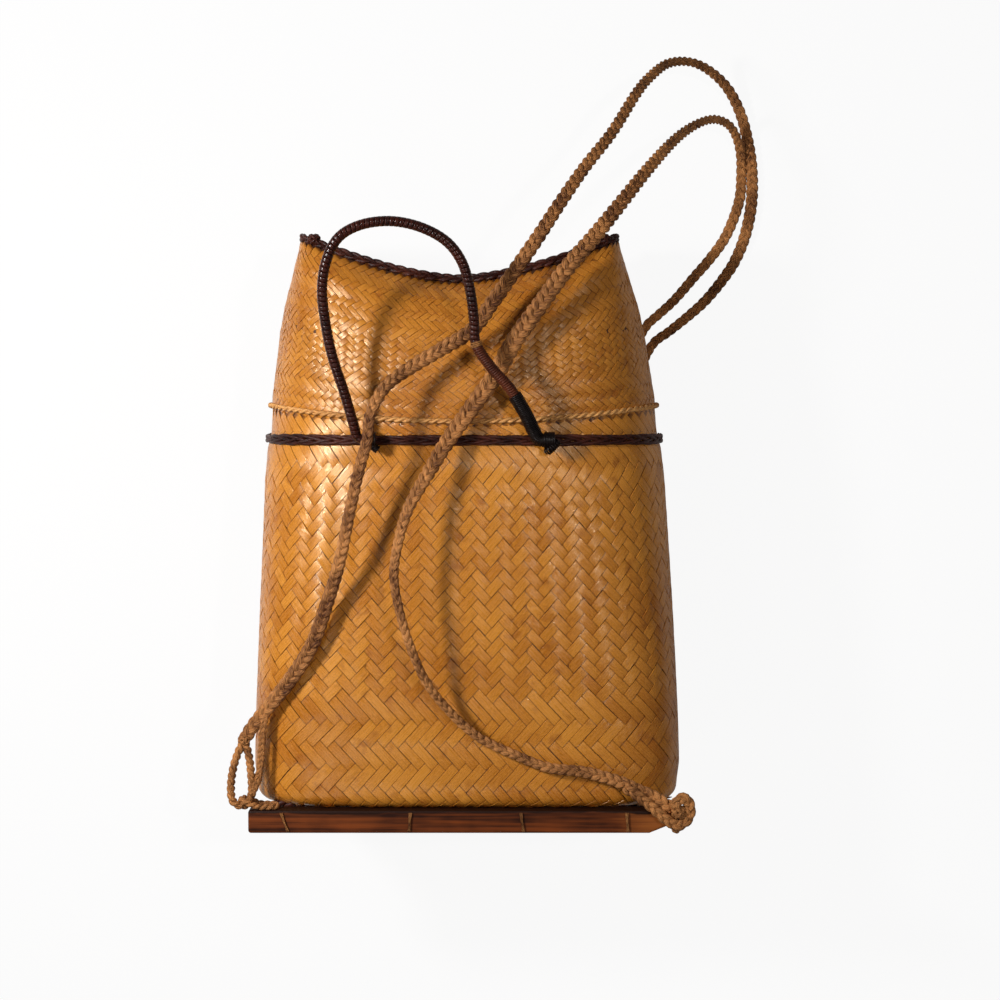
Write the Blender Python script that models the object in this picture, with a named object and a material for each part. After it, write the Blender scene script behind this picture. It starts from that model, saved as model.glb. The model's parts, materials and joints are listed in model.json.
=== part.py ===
"""Lidded pack basket, lying on its back.

Units are metres. +Y runs from the wooden foot to the lid's top, +X is the right side
and +Z is up, away from the ground that the basket's back lies on. Heights are measured
along Y from the foot's underside and turned into Y by place(). The origin is on the
ground, under the middle of the basket.
"""

import math

import bmesh
import bpy

# Clearance that touching pieces keep
SEAT_GAP = 0.0003

# Points between two of a route's own points, and the angles that stay sharp
ROUTE_STEPS = 12
SHARP_DEGREES = 35.0
EDGE_DEGREES = 50.0

# The band stands out from the body's back and lies on the ground, so it sets where the middle is
BODY_HALF_DEPTH = 0.0800
BAND_STANDOFF = 0.0035
MID_DEPTH = BODY_HALF_DEPTH + BAND_STANDOFF
FRONT_DEPTH = MID_DEPTH + BODY_HALF_DEPTH
ORIGIN_HEIGHT = 0.20135
RING_POINTS = 40

# Foot: two runners joined by cross slats, a little shorter than the body is wide
FOOT_HEIGHT = 0.0154
BODY_HALF_WIDTH = 0.1459
FOOT_INSET = 0.0014
FOOT_HALF_LENGTH = BODY_HALF_WIDTH - FOOT_INSET
RUNNER_DEPTH = 0.0140
RUNNER_PROUD = 0.0010
RUNNER_FACE_DEPTH = BODY_HALF_DEPTH + RUNNER_PROUD
RUNNER_EDGE = 0.0016
RUNNER_TAPER_LENGTH = 0.0230
RUNNER_TAPER_RISE = 0.0052
RUNNER_TAPER_DROP = 0.0034
SLAT_WIDTH = 0.0140
SLAT_THICKNESS = 0.0080
SLAT_EDGE = 0.0010
SLAT_PLACE_SHARES = [("left", -0.66), ("middle", 0.0), ("right", 0.66)]

# Stitches on the runners' outer faces
TIE_RADIUS = 0.0010
TIE_LENGTH = 0.0120
TIE_TAPER_SHARES = [0.45, 1.0, 1.0, 1.0, 0.45]
TIE_PLACE_SHARES = [-0.832, -0.258, 0.257, 0.739]

# Body: wall and plan of the plaited shell
BODY_WALL = 0.0026
BASE_ROUNDING = 0.0080
BASE_ROUNDING_STEPS = 3
BODY_WIDTH_SHARES = [(0.0, 0.978), (0.093, 1.0), (0.23, 0.9938), (0.362, 0.985), (0.494, 0.9746),
                     (0.6, 0.965), (0.757, 0.9507), (0.81, 0.9465), (0.896, 0.9308),
                     (0.925, 0.915), (0.95, 0.9095), (1.0, 0.9047)]
BODY_DEPTH_SHARES = [(0.0, 0.95), (0.25, 0.985), (0.5, 1.0), (0.757, 1.0), (0.896, 0.986),
                     (0.925, 0.9785), (1.0, 0.9785)]
BODY_SQUARENESS_SHARES = [(0.0, 1.0), (0.25, 0.84), (0.5, 0.7), (0.757, 0.6), (1.0, 0.54)]
BODY_SQUARENESS = 5.0
BODY_ROW_SHARES = [0.093, 0.23, 0.42, 0.6, 0.757, 0.896, 0.925, 0.95, 1.0]
BODY_INNER_ROW_SHARES = [0.23, 0.6, 0.85]

# The whole basket leans a little to the left towards its top
LEAN = -0.0050

# Waist band
BAND_HEIGHT = 0.2605
BAND_WIDTH = 0.0072

# Lid: its edge dips in the middle of the front and back, its top is a trough
COLLAR_HEIGHT = 0.0213
LID_EDGE_HEIGHT = BAND_HEIGHT + COLLAR_HEIGHT
LID_EDGE_DIP = 0.0104
LID_HEIGHT = 0.1124
LID_TOP_HEIGHT = LID_EDGE_HEIGHT + LID_HEIGHT
LID_TOP_DIP = 0.0291
LID_TOP_POWER = 1.6
LID_HALF_WIDTH = 0.1320
LID_DEPTH_INSET = 0.0017
LID_HALF_DEPTH = BODY_HALF_DEPTH - LID_DEPTH_INSET
LID_WALL = 0.0022
LID_WIDTH_SHARES = [(0.0, 1.0), (0.062, 0.9985), (0.277, 0.9705), (0.462, 0.9485), (0.616, 0.919),
                    (0.77, 0.878), (0.863, 0.8515), (0.955, 0.827), (1.0, 0.819)]
LID_DEPTH_SHARES = [(0.0, 1.0), (0.062, 1.0), (0.277, 0.99), (0.462, 0.965), (0.616, 0.92),
                    (0.77, 0.85), (0.863, 0.78), (0.955, 0.67), (1.0, 0.60)]
LID_SQUARENESS = 8.0
LID_SQUARENESS_SHARES = [(0.0, 0.3375), (0.5, 0.35), (0.77, 0.44), (0.955, 0.75), (1.0, 1.0)]
LID_ROW_SHARES = [0.0, 0.12, 0.277, 0.462, 0.616, 0.77, 0.863, 0.955, 1.0]
LID_INNER_ROW_SHARES = [0.0, 0.12, 0.277, 0.462, 0.616, 0.863, 0.955, 1.0]
LID_PANEL_SHARES = [0.72, 0.42, 0.16]

# Neck: the body's inner wall that the lid slides over
NECK_GAP = 0.0005
NECK_HEIGHT_SHARE = 0.4646
NECK_HEIGHT = LID_EDGE_HEIGHT + NECK_HEIGHT_SHARE * (LID_HEIGHT - LID_TOP_DIP)
NECK_WALL = 0.0020
NECK_HOOP_RADIUS = 0.0014

# Cord round the lid's edge, braid and knots round its top
RIM_CORD_RADIUS = 0.0016
TOP_BRAID_RADIUS = 0.0026
TOP_BRAID_END_SHARE = 0.35
KNOB_RADIUS = 0.0046
KNOB_FLATNESS_SHARE = 0.85
KNOB_SEAT_RADIUS = KNOB_RADIUS * (1.0 + KNOB_FLATNESS_SHARE) / 2
KNOB_SEGMENTS = 12
KNOB_RINGS = 6

# Handle: a bow that swings on two toes held against the waist band
HINGE_STANDOFF = 0.0062
HINGE_DEPTH = FRONT_DEPTH + HINGE_STANDOFF
HANDLE_RADIUS = 0.0033
HANDLE_THIN_RADIUS = 0.0021
HANDLE_POINTS = 62
HANDLE_ACROSS = [-0.0582, -0.0650, -0.0706, -0.0728, -0.0778, -0.0855, -0.0894, -0.0908, -0.0879,
                 -0.0800, -0.0659, -0.0470, -0.0281, -0.0117, -0.0017, 0.0034, 0.0059, 0.0072, 0.0166,
                 0.0290, 0.0390, 0.0440, 0.0475, 0.0520, 0.0585]
HANDLE_LIFTS = [0.0000, 0.0000, 0.0005, 0.0031, 0.0088, 0.0153, 0.0203, 0.0243, 0.0273, 0.0303, 0.0313,
                0.0313, 0.0303, 0.0283, 0.0258, 0.0233, 0.0208, 0.0193, 0.0183, 0.0158, 0.0095, 0.0035,
                0.0004, 0.0000, 0.0000]
HANDLE_RISE_SHARES = [1.0000, 1.0008, 1.0102, 1.0428, 1.1204, 1.2248, 1.3154, 1.3925, 1.4639, 1.5243,
                      1.5573, 1.5675, 1.5528, 1.5173, 1.4643, 1.3929, 1.3158, 1.2530, 1.1934, 1.1367,
                      1.0706, 1.0286, 1.0041, 1.0000, 1.0000]
HANDLE_THIN_SHARES = (0.768, 0.872)
FINE_WRAP_SHARES = (0.780, 0.864)
FINE_WRAP_TURNS = 15
FINE_WRAP_RADIUS = 0.00072
BLACK_WRAP_SHARES = (0.883, 0.950)
BLACK_WRAP_TURNS = 11
BLACK_WRAP_RADIUS = 0.00080
WRAP_POINTS_PER_TURN = 8
WRAP_PATH_POINTS = 2000
WRAP_PATH_REACH = 16

# Lashings that hold the handle's toes down over the waist band
LASHING_WIDTH = 0.0070
LASHING_THICKNESS = 0.0016
LASHING_CLEARANCE = 0.0008
LASHING_ARCH_STEPS = 8
LASHING_PLACES = {"left": -0.0620, "right": 0.0548}

# Straps and what they end on
STRAP_RADIUS = 0.0032
STRAP_POINTS = 66
STRAP_LEFT_ACROSS = [-0.1470, -0.1420, -0.1340, -0.1165, -0.1012, -0.0900, -0.0813, -0.0740, -0.0678,
                     -0.0625, -0.0600, -0.0506, -0.0355, -0.0163, 0.0043, 0.0173, 0.0297, 0.0460,
                     0.0619, 0.0788, 0.0979, 0.1157, 0.1267, 0.1411, 0.1587, 0.1747, 0.1891, 0.1994,
                     0.2057, 0.2081, 0.2075, 0.2032, 0.1963, 0.1879, 0.1747, 0.1618, 0.1471, 0.1350,
                     0.1236, 0.1137, 0.1026, 0.0903]
STRAP_LEFT_DEPTH_SHARES = [0.9763, 0.9626, 0.9532, 0.9813, 1.0156, 1.0530, 1.1092, 1.1591, 1.1840,
                           1.1903, 1.1840, 1.1528, 1.1154, 1.0842, 1.0593, 1.0405, 1.0218, 0.9969,
                           0.9470, 0.8596, 0.7349, 0.5789, 0.4666, 0.3294, 0.2046, 0.1110, 0.0487,
                           0.0143, 0.0031, 0.0025, 0.0025, 0.0025, 0.0025, 0.0025, 0.0025, 0.0025,
                           0.0025, 0.0025, 0.0025, 0.0025, 0.0025, 0.0031]
STRAP_LEFT_RISE_SHARES = [0.1893, 0.2228, 0.2636, 0.3521, 0.4504, 0.5741, 0.6842, 0.8188, 0.9245,
                          1.0029, 1.0759, 1.1436, 1.1914, 1.2391, 1.2921, 1.3639, 1.4361, 1.5324,
                          1.6336, 1.7364, 1.8409, 1.9621, 2.0220, 2.0759, 2.0951, 2.0796, 2.0339,
                          1.9604, 1.8633, 1.7744, 1.6875, 1.6010, 1.5292, 1.4753, 1.4092, 1.3611,
                          1.3129, 1.2738, 1.1783, 1.0845, 1.0355, 1.0249]
STRAP_RIGHT_ACROSS = [0.1371, 0.1320, 0.1230, 0.1138, 0.1019, 0.0786, 0.0555, 0.0357, 0.0093, -0.0103,
                      -0.0262, -0.0368, -0.0436, -0.0455, -0.0417, -0.0354, -0.0227, -0.0112, 0.0030,
                      0.0193, 0.0322, 0.0485, 0.0663, 0.0864, 0.1052, 0.1226, 0.1413, 0.1559, 0.1707,
                      0.1826, 0.1922, 0.1986, 0.2001, 0.1986, 0.1892, 0.1768, 0.1665, 0.1514, 0.1386,
                      0.1297, 0.1162, 0.1052, 0.0977, 0.0903]
STRAP_RIGHT_DEPTH_SHARES = [1.0262, 1.0306, 1.0187, 1.0094, 1.0094, 1.0156, 1.0156, 1.0187, 1.0312,
                            1.0655, 1.1216, 1.1716, 1.1965, 1.1965, 1.1840, 1.1591, 1.1154, 1.0780,
                            1.0593, 1.0530, 1.0468, 1.0281, 0.9844, 0.9158, 0.8222, 0.7037, 0.5290,
                            0.3918, 0.2670, 0.1672, 0.0861, 0.0268, 0.0037, 0.0025, 0.0025, 0.0025,
                            0.0025, 0.0025, 0.0025, 0.0025, 0.0025, 0.0025, 0.0025, 0.0031]
STRAP_RIGHT_RISE_SHARES = [0.0057, 0.0196, 0.0416, 0.0563, 0.0779, 0.1061, 0.1171, 0.1473, 0.2003,
                           0.2746, 0.3660, 0.4769, 0.5843, 0.6630, 0.7544, 0.8319, 0.9229, 1.0012,
                           1.0808, 1.1734, 1.2660, 1.3590, 1.4590, 1.5557, 1.6532, 1.7438, 1.8323,
                           1.8858, 1.9208, 1.9278, 1.9090, 1.8556, 1.7829, 1.7026, 1.6010, 1.5292,
                           1.4810, 1.4092, 1.3611, 1.3252, 1.2215, 1.1346, 1.0804, 1.0563]
EYE_RADIUS = 0.0017
EYE_ACROSS = [-0.1475, -0.1530, -0.1558, -0.1555, -0.1510, -0.1455, -0.1426, -0.1430, -0.1445]
EYE_DEPTH_SHARES = [0.9782, 0.9844, 0.9844, 0.9782, 0.9719, 0.9694, 0.9676, 0.9694, 0.9719]
EYE_RISE_SHARES = [0.1820, 0.1330, 0.0759, 0.0269, 0.0090, 0.0131, 0.0432, 0.1004, 0.1493]
CORNER_RING_RADIUS = 0.0015
CORNER_RING_ROUTE = [(-0.1495, 0.0214, -0.0057), (-0.1487, 0.0213, -0.0025), (-0.1455, 0.0205, -0.0005),
                     (-0.1380, 0.0178, -0.0015), (-0.1290, 0.0175, -0.0025), (-0.1260, 0.0175, -0.0065),
                     (-0.1290, 0.0175, -0.0100), (-0.1380, 0.0178, -0.0110), (-0.1455, 0.0208, -0.0115),
                     (-0.1487, 0.0215, -0.0095)]
WRAP_LOOP_RADIUS = 0.0023
WRAP_LOOP_INSET = 0.0055
WRAP_LOOP_CORNER_STEPS = 3
ANCHOR_RADIUS = 0.0014
ANCHOR_PLACES = [(0.0750, 0.0108), (0.0784, 0.0092), (0.0838, 0.0060), (0.0870, 0.0040),
                 (0.0878, 0.0038), (0.0870, 0.0040), (0.0838, 0.0060), (0.0784, 0.0092)]
ANCHOR_RISE_SHARES = [1.0400, 1.0502, 1.0551, 1.0518, 1.0400, 1.0290, 1.0257, 1.0306]
SMALL_LOOP_POINTS = 22

# Colours of the finishes, linear
STRIP_COLOUR = (0.42, 0.20, 0.055)
LID_STRIP_COLOUR = (0.40, 0.185, 0.045)
DARK_BRAID_COLOUR = (0.045, 0.013, 0.009)
RIM_COLOUR = (0.45, 0.24, 0.085)
RUNNER_COLOUR = (0.115, 0.027, 0.010)
SLAT_COLOUR = (0.20, 0.070, 0.022)
FIBRE_COLOUR = (0.26, 0.125, 0.050)
HANDLE_COLOUR = (0.040, 0.010, 0.006)
FINE_WRAP_COLOUR = (0.150, 0.036, 0.012)
BLACK_WRAP_COLOUR = (0.010, 0.007, 0.006)


def clear_scene():
    """Remove what a new file holds."""
    for item in list(bpy.data.objects):
        bpy.data.objects.remove(item, do_unlink=True)


def finish(name, colour, roughness):
    """A Principled material of one colour."""
    material = bpy.data.materials.new(name)
    material.use_nodes = True
    shader = material.node_tree.nodes["Principled BSDF"]
    shader.inputs["Base Color"].default_value = (*colour, 1.0)
    shader.inputs["Roughness"].default_value = roughness
    shader.inputs["Metallic"].default_value = 0.0
    return material


def share_at(table, place):
    """Read a table of (place, share) pairs, with straight lines between them."""
    previous = table[0]
    for entry in table:
        if place <= entry[0]:
            run = entry[0] - previous[0]
            part = (place - previous[0]) / run if run else 0.0
            return previous[1] + (entry[1] - previous[1]) * part
        previous = entry
    return table[-1][1]


def place(x, height, z):
    """World point of a place given by its height over the foot's underside."""
    return (x, height - ORIGIN_HEIGHT, z)


def lean_at(height):
    """Sideways shift of the basket's middle at a height."""
    return LEAN * (height / LID_TOP_HEIGHT) ** 2


def outline(half_width, half_depth, squareness):
    """Points (x, z from the middle) round a rounded-square section."""
    points = []
    for index in range(RING_POINTS):
        angle = 2.0 * math.pi * index / RING_POINTS
        across = math.cos(angle)
        deep = math.sin(angle)
        reach = (abs(across) ** squareness + abs(deep) ** squareness) ** (-1.0 / squareness)
        points.append((half_width * across * reach, half_depth * deep * reach))
    return points


def body_section(height):
    """Outer half width, half depth and squareness of the body at a height."""
    base = FOOT_HEIGHT + SEAT_GAP
    share = (height - base) / (LID_EDGE_HEIGHT - SEAT_GAP - base)
    squareness = BODY_SQUARENESS * share_at(BODY_SQUARENESS_SHARES, share)
    return (BODY_HALF_WIDTH * share_at(BODY_WIDTH_SHARES, share),
            BODY_HALF_DEPTH * share_at(BODY_DEPTH_SHARES, share), squareness)


def lid_section(share):
    """Outer half width, half depth and squareness of the lid at a share of its height."""
    return (LID_HALF_WIDTH * share_at(LID_WIDTH_SHARES, share),
            LID_HALF_DEPTH * share_at(LID_DEPTH_SHARES, share),
            LID_SQUARENESS * share_at(LID_SQUARENESS_SHARES, share))


def lid_edge_height(across):
    """Height of the lid's lower edge; across is 0 in the middle and 1 at the sides."""
    return LID_EDGE_HEIGHT - LID_EDGE_DIP * (1.0 - min(abs(across), 1.0) ** 2)


def lid_top_height(across):
    """Height of the lid's trough-shaped top."""
    return LID_TOP_HEIGHT - LID_TOP_DIP * (1.0 - min(abs(across), 1.0) ** LID_TOP_POWER)


def surface_depth(section, x):
    """Distance of a section's front from the middle of the depth, at x."""
    half_width, half_depth, squareness = section
    share = min(abs(x) / half_width, 1.0)
    return half_depth * (1.0 - share ** squareness) ** (1.0 / squareness)


def next_ring(mesh, ring, points):
    """Extrude a ring of vertices and move the new ring to its points."""
    count = len(ring)
    edges = [mesh.edges.get((ring[i], ring[(i + 1) % count])) for i in range(count)]
    made = bmesh.ops.extrude_edge_only(mesh, edges=edges)["geom"]
    fresh = {item for item in made if isinstance(item, bmesh.types.BMVert)}
    moved = []
    for vertex, point in zip(ring, points):
        for edge in vertex.link_edges:
            other = edge.other_vert(vertex)
            if other in fresh:
                other.co = point
                moved.append(other)
                break
    return moved


def first_ring(mesh, points):
    """A ring of vertices at its points, joined by edges."""
    ring = bmesh.ops.create_circle(mesh, cap_ends=False, segments=len(points), radius=1.0)["verts"]
    for vertex, point in zip(ring, points):
        vertex.co = point
    return ring


def lofted(name, rings, material, closed=False):
    """One closed solid through rings of points, capped at both ends or joined round."""
    mesh = bmesh.new()
    first = first_ring(mesh, rings[0])
    last = first
    for points in rings[1:]:
        last = next_ring(mesh, last, points)
    ends = []
    for ring in (first, last):
        count = len(ring)
        ends.append([mesh.edges.get((ring[i], ring[(i + 1) % count])) for i in range(count)])
    if closed:
        bmesh.ops.bridge_loops(mesh, edges=ends[0] + ends[1])
    else:
        for edges in ends:
            bmesh.ops.contextual_create(mesh, geom=edges)
    return solid_object(name, mesh, material)


def solid_object(name, mesh, material):
    """Turn a bmesh into a smooth-shaded object with its material."""
    bmesh.ops.recalc_face_normals(mesh, faces=mesh.faces)
    data = bpy.data.meshes.new(name)
    mesh.to_mesh(data)
    mesh.free()
    data.shade_smooth()
    data.set_sharp_from_angle(angle=math.radians(SHARP_DEGREES))
    data.materials.append(material)
    item = bpy.data.objects.new(name, data)
    bpy.context.scene.collection.objects.link(item)
    return item


def risen(across, rise_shares, depths):
    """Points (x, height, z) of a route; its rise goes from 0 at the foot's top to 1 at the band."""
    rise = BAND_HEIGHT - FOOT_HEIGHT
    return [(x, FOOT_HEIGHT + rise * share, z) for x, share, z in zip(across, rise_shares, depths)]


def strap_depths(depth_shares):
    """Depths of a strap's points; the shares go from 0 on the ground to 1 at the basket's front."""
    return [STRAP_RADIUS + (FRONT_DEPTH - STRAP_RADIUS) * share for share in depth_shares]


def handle_route():
    """Points (x, height, z) of the handle, lifted from its hinge."""
    return risen(HANDLE_ACROSS, HANDLE_RISE_SHARES, [HINGE_DEPTH + lift for lift in HANDLE_LIFTS])


def corner_ring_route():
    """Points (x, height, z) of the ring round the front runner's left end."""
    face = MID_DEPTH + RUNNER_FACE_DEPTH
    return [(x, height, face + depth) for x, height, depth in CORNER_RING_ROUTE]


def anchor_route():
    """Points (x, height, z) of the ring on the collar's back, which holds both straps' upper ends."""
    across = [x for x, depth in ANCHOR_PLACES]
    return risen(across, ANCHOR_RISE_SHARES, [depth for x, depth in ANCHOR_PLACES])


def smooth_route(route, count, cyclic=False):
    """Evenly spaced points on a smooth curve through the route's own points."""
    spans = len(route) if cyclic else len(route) - 1
    dense = []
    for span in range(spans):
        picks = []
        for offset in (-1, 0, 1, 2):
            index = span + offset
            index = index % len(route) if cyclic else min(max(index, 0), len(route) - 1)
            picks.append(route[index])
        for step in range(ROUTE_STEPS):
            dense.append(curve_point(picks, step / ROUTE_STEPS))
    dense.append(route[0] if cyclic else route[-1])
    lengths = [0.0]
    for start, end in zip(dense, dense[1:]):
        lengths.append(lengths[-1] + math.dist(start, end))
    wanted = count if cyclic else count - 1
    points = []
    cursor = 0
    for index in range(count):
        target = lengths[-1] * index / wanted
        while cursor < len(dense) - 2 and lengths[cursor + 1] < target:
            cursor += 1
        run = lengths[cursor + 1] - lengths[cursor]
        part = (target - lengths[cursor]) / run if run else 0.0
        points.append(tuple(a + (b - a) * part for a, b in zip(dense[cursor], dense[cursor + 1])))
    return points


def curve_point(picks, part):
    """Catmull-Rom point between the second and third of four points."""
    before, start, end, after = picks
    square = part * part
    cube = square * part
    point = []
    for p0, p1, p2, p3 in zip(before, start, end, after):
        point.append(0.5 * (2.0 * p1 + (p2 - p0) * part + (2.0 * p0 - 5.0 * p1 + 4.0 * p2 - p3) * square
                            + (3.0 * p1 - p0 - 3.0 * p2 + p3) * cube))
    return tuple(point)


def tube(name, points, radius, material, cyclic=False, sides=2, shares=None):
    """A round tube along points given as x, height and z."""
    curve = bpy.data.curves.new(name, "CURVE")
    curve.dimensions = "3D"
    curve.bevel_depth = radius
    curve.bevel_resolution = sides
    curve.use_fill_caps = not cyclic
    spline = curve.splines.new("POLY")
    spline.points.add(len(points) - 1)
    for index, point in enumerate(points):
        spline.points[index].co = (*place(*point), 1.0)
        spline.points[index].radius = shares[index] if shares else 1.0
    spline.use_cyclic_u = cyclic
    curve.materials.append(material)
    item = bpy.data.objects.new(name, curve)
    bpy.context.scene.collection.objects.link(item)
    return item


def section_ring(section, height, dips=None):
    """World points of one section ring; dips gives each point's height from its x share."""
    points = []
    for x, depth in outline(*section):
        level = dips(x / section[0]) if dips else height
        points.append(place(x + lean_at(level), level, MID_DEPTH + depth))
    return points


def body_edge_height(across, height):
    """Height of a body row near the collar, which follows the lid's dipping edge."""
    base = BAND_HEIGHT + BAND_WIDTH / 2
    top = LID_EDGE_HEIGHT - SEAT_GAP
    share = max(0.0, (height - base) / (top - base))
    return height - share * (LID_EDGE_HEIGHT - lid_edge_height(across))


def body_rings():
    """Rings of the body from the base's underside, over the collar and neck, to the inner base."""
    base = FOOT_HEIGHT + SEAT_GAP
    top = LID_EDGE_HEIGHT - SEAT_GAP
    rings = []
    for step in range(BASE_ROUNDING_STEPS + 1):
        angle = math.pi / 2 * step / BASE_ROUNDING_STEPS
        height = base + BASE_ROUNDING * (1.0 - math.cos(angle))
        inset = BASE_ROUNDING * (1.0 - math.sin(angle))
        half_width, half_depth, squareness = body_section(height)
        rings.append(section_ring((half_width - inset, half_depth - inset, squareness), height))
    for share in BODY_ROW_SHARES:
        height = base + (top - base) * share
        rings.append(section_ring(body_section(height), height, lambda a, h=height: body_edge_height(a, h)))
    rings.append(section_ring(neck_section(top, 0.0), top, lambda a: body_edge_height(a, top)))
    rings.append(section_ring(neck_section(NECK_HEIGHT, 0.0), NECK_HEIGHT))
    rings.append(section_ring(neck_section(NECK_HEIGHT, NECK_WALL), NECK_HEIGHT))
    rings.append(section_ring(neck_section(top, NECK_WALL), top, lambda a: body_edge_height(a, top)))
    floor = base + BODY_WALL
    for share in reversed(BODY_INNER_ROW_SHARES):
        height = base + (top - base) * share
        half_width, half_depth, squareness = body_section(height)
        rings.append(section_ring((half_width - BODY_WALL, half_depth - BODY_WALL, squareness), height))
    for step in range(BASE_ROUNDING_STEPS, -1, -1):
        angle = math.pi / 2 * step / BASE_ROUNDING_STEPS
        rounding = BASE_ROUNDING - BODY_WALL
        height = floor + rounding * (1.0 - math.cos(angle))
        inset = rounding * (1.0 - math.sin(angle)) + BODY_WALL
        half_width, half_depth, squareness = body_section(height)
        rings.append(section_ring((half_width - inset, half_depth - inset, squareness), height))
    return rings


def neck_section(height, inset):
    """The neck's section, which follows the inside of the lid less its clearance."""
    side_share = max(0.0, (height - LID_EDGE_HEIGHT) / (LID_TOP_HEIGHT - LID_EDGE_HEIGHT))
    middle_edge = lid_edge_height(0.0)
    middle_share = max(0.0, (height - middle_edge) / (lid_top_height(0.0) - middle_edge))
    less = LID_WALL + NECK_GAP + inset
    return (lid_section(side_share)[0] - less, lid_section(middle_share)[1] - less,
            lid_section(side_share)[2])


def basket_body():
    """The plaited body: outer wall, base, collar and the neck that the lid slides over."""
    return lofted("basket_body", body_rings(), finish("body_strips", STRIP_COLOUR, 0.42))


def neck_rim_hoop():
    """The hoop inside the neck's mouth."""
    inset = NECK_WALL + SEAT_GAP + NECK_HOOP_RADIUS
    section = neck_section(NECK_HEIGHT, inset)
    height = NECK_HEIGHT - NECK_HOOP_RADIUS
    points = [(x + lean_at(height), height, MID_DEPTH + depth) for x, depth in outline(*section)]
    return tube("neck_rim_hoop", points, NECK_HOOP_RADIUS, finish("hoop_cane", RIM_COLOUR, 0.5), True,
                sides=1)


def waist_band():
    """The dark plaited band round the body, thick enough to lie on the ground behind."""
    half_width, half_depth, squareness = body_section(BAND_HEIGHT)
    widest = body_section(BAND_HEIGHT - BAND_WIDTH / 2)
    inner = max(widest[0] - half_width, widest[1] - half_depth) + SEAT_GAP
    reach = MID_DEPTH - half_depth
    profile_shares = [(0.0, -0.36), (0.4, -0.5), (1.0, -0.3), (1.0, 0.3), (0.4, 0.5), (0.0, 0.36)]
    rings = []
    for out_share, up_share in profile_shares:
        out = inner + (reach - inner) * out_share
        section = (half_width + out, half_depth + out, squareness)
        rings.append(section_ring(section, BAND_HEIGHT + BAND_WIDTH * up_share))
    return lofted("waist_band", rings, finish("band_braid", DARK_BRAID_COLOUR, 0.45), closed=True)


def runner(side):
    """A foot runner: a chamfered bar whose right end is thinned for the strap's loop."""
    outer = MID_DEPTH + side * RUNNER_FACE_DEPTH
    inner = outer - side * RUNNER_DEPTH
    taper_start = FOOT_HALF_LENGTH - RUNNER_TAPER_LENGTH
    stations = [(-FOOT_HALF_LENGTH, 0.0), (taper_start, 0.0),
                (FOOT_HALF_LENGTH - WRAP_LOOP_INSET - 2 * WRAP_LOOP_RADIUS, 1.0), (FOOT_HALF_LENGTH, 1.0)]
    rings = []
    for x, thinning in stations:
        low = RUNNER_TAPER_RISE * thinning
        high = FOOT_HEIGHT - RUNNER_TAPER_DROP * thinning
        rings.append([place(x, low, inner), place(x, low, outer), place(x, high, outer),
                      place(x, high, inner)])
    name = "foot_runner_front" if side > 0 else "foot_runner_back"
    item = lofted(name, rings, finish(name + "_wood", RUNNER_COLOUR, 0.5))
    bevel = item.modifiers.new("edge", "BEVEL")
    bevel.width = RUNNER_EDGE
    bevel.segments = 2
    bevel.limit_method = "ANGLE"
    bevel.angle_limit = math.radians(EDGE_DEGREES)
    return item


def cross_slat(side, share):
    """A slat under the base that joins the two runners."""
    reach = RUNNER_FACE_DEPTH - RUNNER_DEPTH - SEAT_GAP
    middle = FOOT_HALF_LENGTH * share
    low = FOOT_HEIGHT - SLAT_THICKNESS
    rings = []
    for depth in (-reach, reach):
        left = middle - SLAT_WIDTH / 2
        right = middle + SLAT_WIDTH / 2
        z = MID_DEPTH + depth
        rings.append([place(left, low, z), place(right, low, z), place(right, FOOT_HEIGHT, z),
                      place(left, FOOT_HEIGHT, z)])
    item = lofted("foot_slat_" + side, rings, finish("slat_" + side + "_wood", SLAT_COLOUR, 0.55))
    bevel = item.modifiers.new("edge", "BEVEL")
    bevel.width = SLAT_EDGE
    bevel.segments = 1
    return item


def runner_tie(side, number, share):
    """A stitch on a runner's outer face, with both ends turned into the wood."""
    face = MID_DEPTH + side * (RUNNER_FACE_DEPTH + SEAT_GAP)
    out = face + side * TIE_RADIUS
    middle = FOOT_HEIGHT / 2
    x = FOOT_HALF_LENGTH * share
    half = TIE_LENGTH / 2
    points = [(x, middle - half, face), (x, middle - half + TIE_RADIUS, out), (x, middle, out),
              (x, middle + half - TIE_RADIUS, out), (x, middle + half, face)]
    ends = [(px, ph, pz + side * TIE_RADIUS / 2) for px, ph, pz in (points[0], points[-1])]
    points = [ends[0]] + points[1:-1] + [ends[1]]
    label = "front" if side > 0 else "back"
    name = "runner_tie_%s_%d" % (label, number)
    return tube(name, points, TIE_RADIUS, finish(name + "_fibre", FIBRE_COLOUR, 0.7), sides=1,
                shares=TIE_TAPER_SHARES)


def lid_ring(share, inset):
    """World points of one lid row; inset moves it inwards by the wall."""
    half_width, half_depth, squareness = lid_section(share)
    section = (half_width - inset, half_depth - inset, squareness)
    points = []
    for x, depth in outline(*section):
        across = x / section[0]
        edge = lid_edge_height(across)
        level = edge + (lid_top_height(across) - edge) * share
        if share == 1.0:
            level -= inset
        points.append(place(x + lean_at(level), level, MID_DEPTH + depth))
    return points


def lid_panel_ring(scale, drop):
    """World points of one row on the lid's top, scaled towards its middle."""
    half_width, half_depth, squareness = lid_section(1.0)
    section = ((half_width - drop) * scale, (half_depth - drop) * scale, squareness)
    points = []
    for x, depth in outline(*section):
        level = lid_top_height(x / (half_width - drop)) - drop
        points.append(place(x + lean_at(level), level, MID_DEPTH + depth))
    return points


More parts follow.
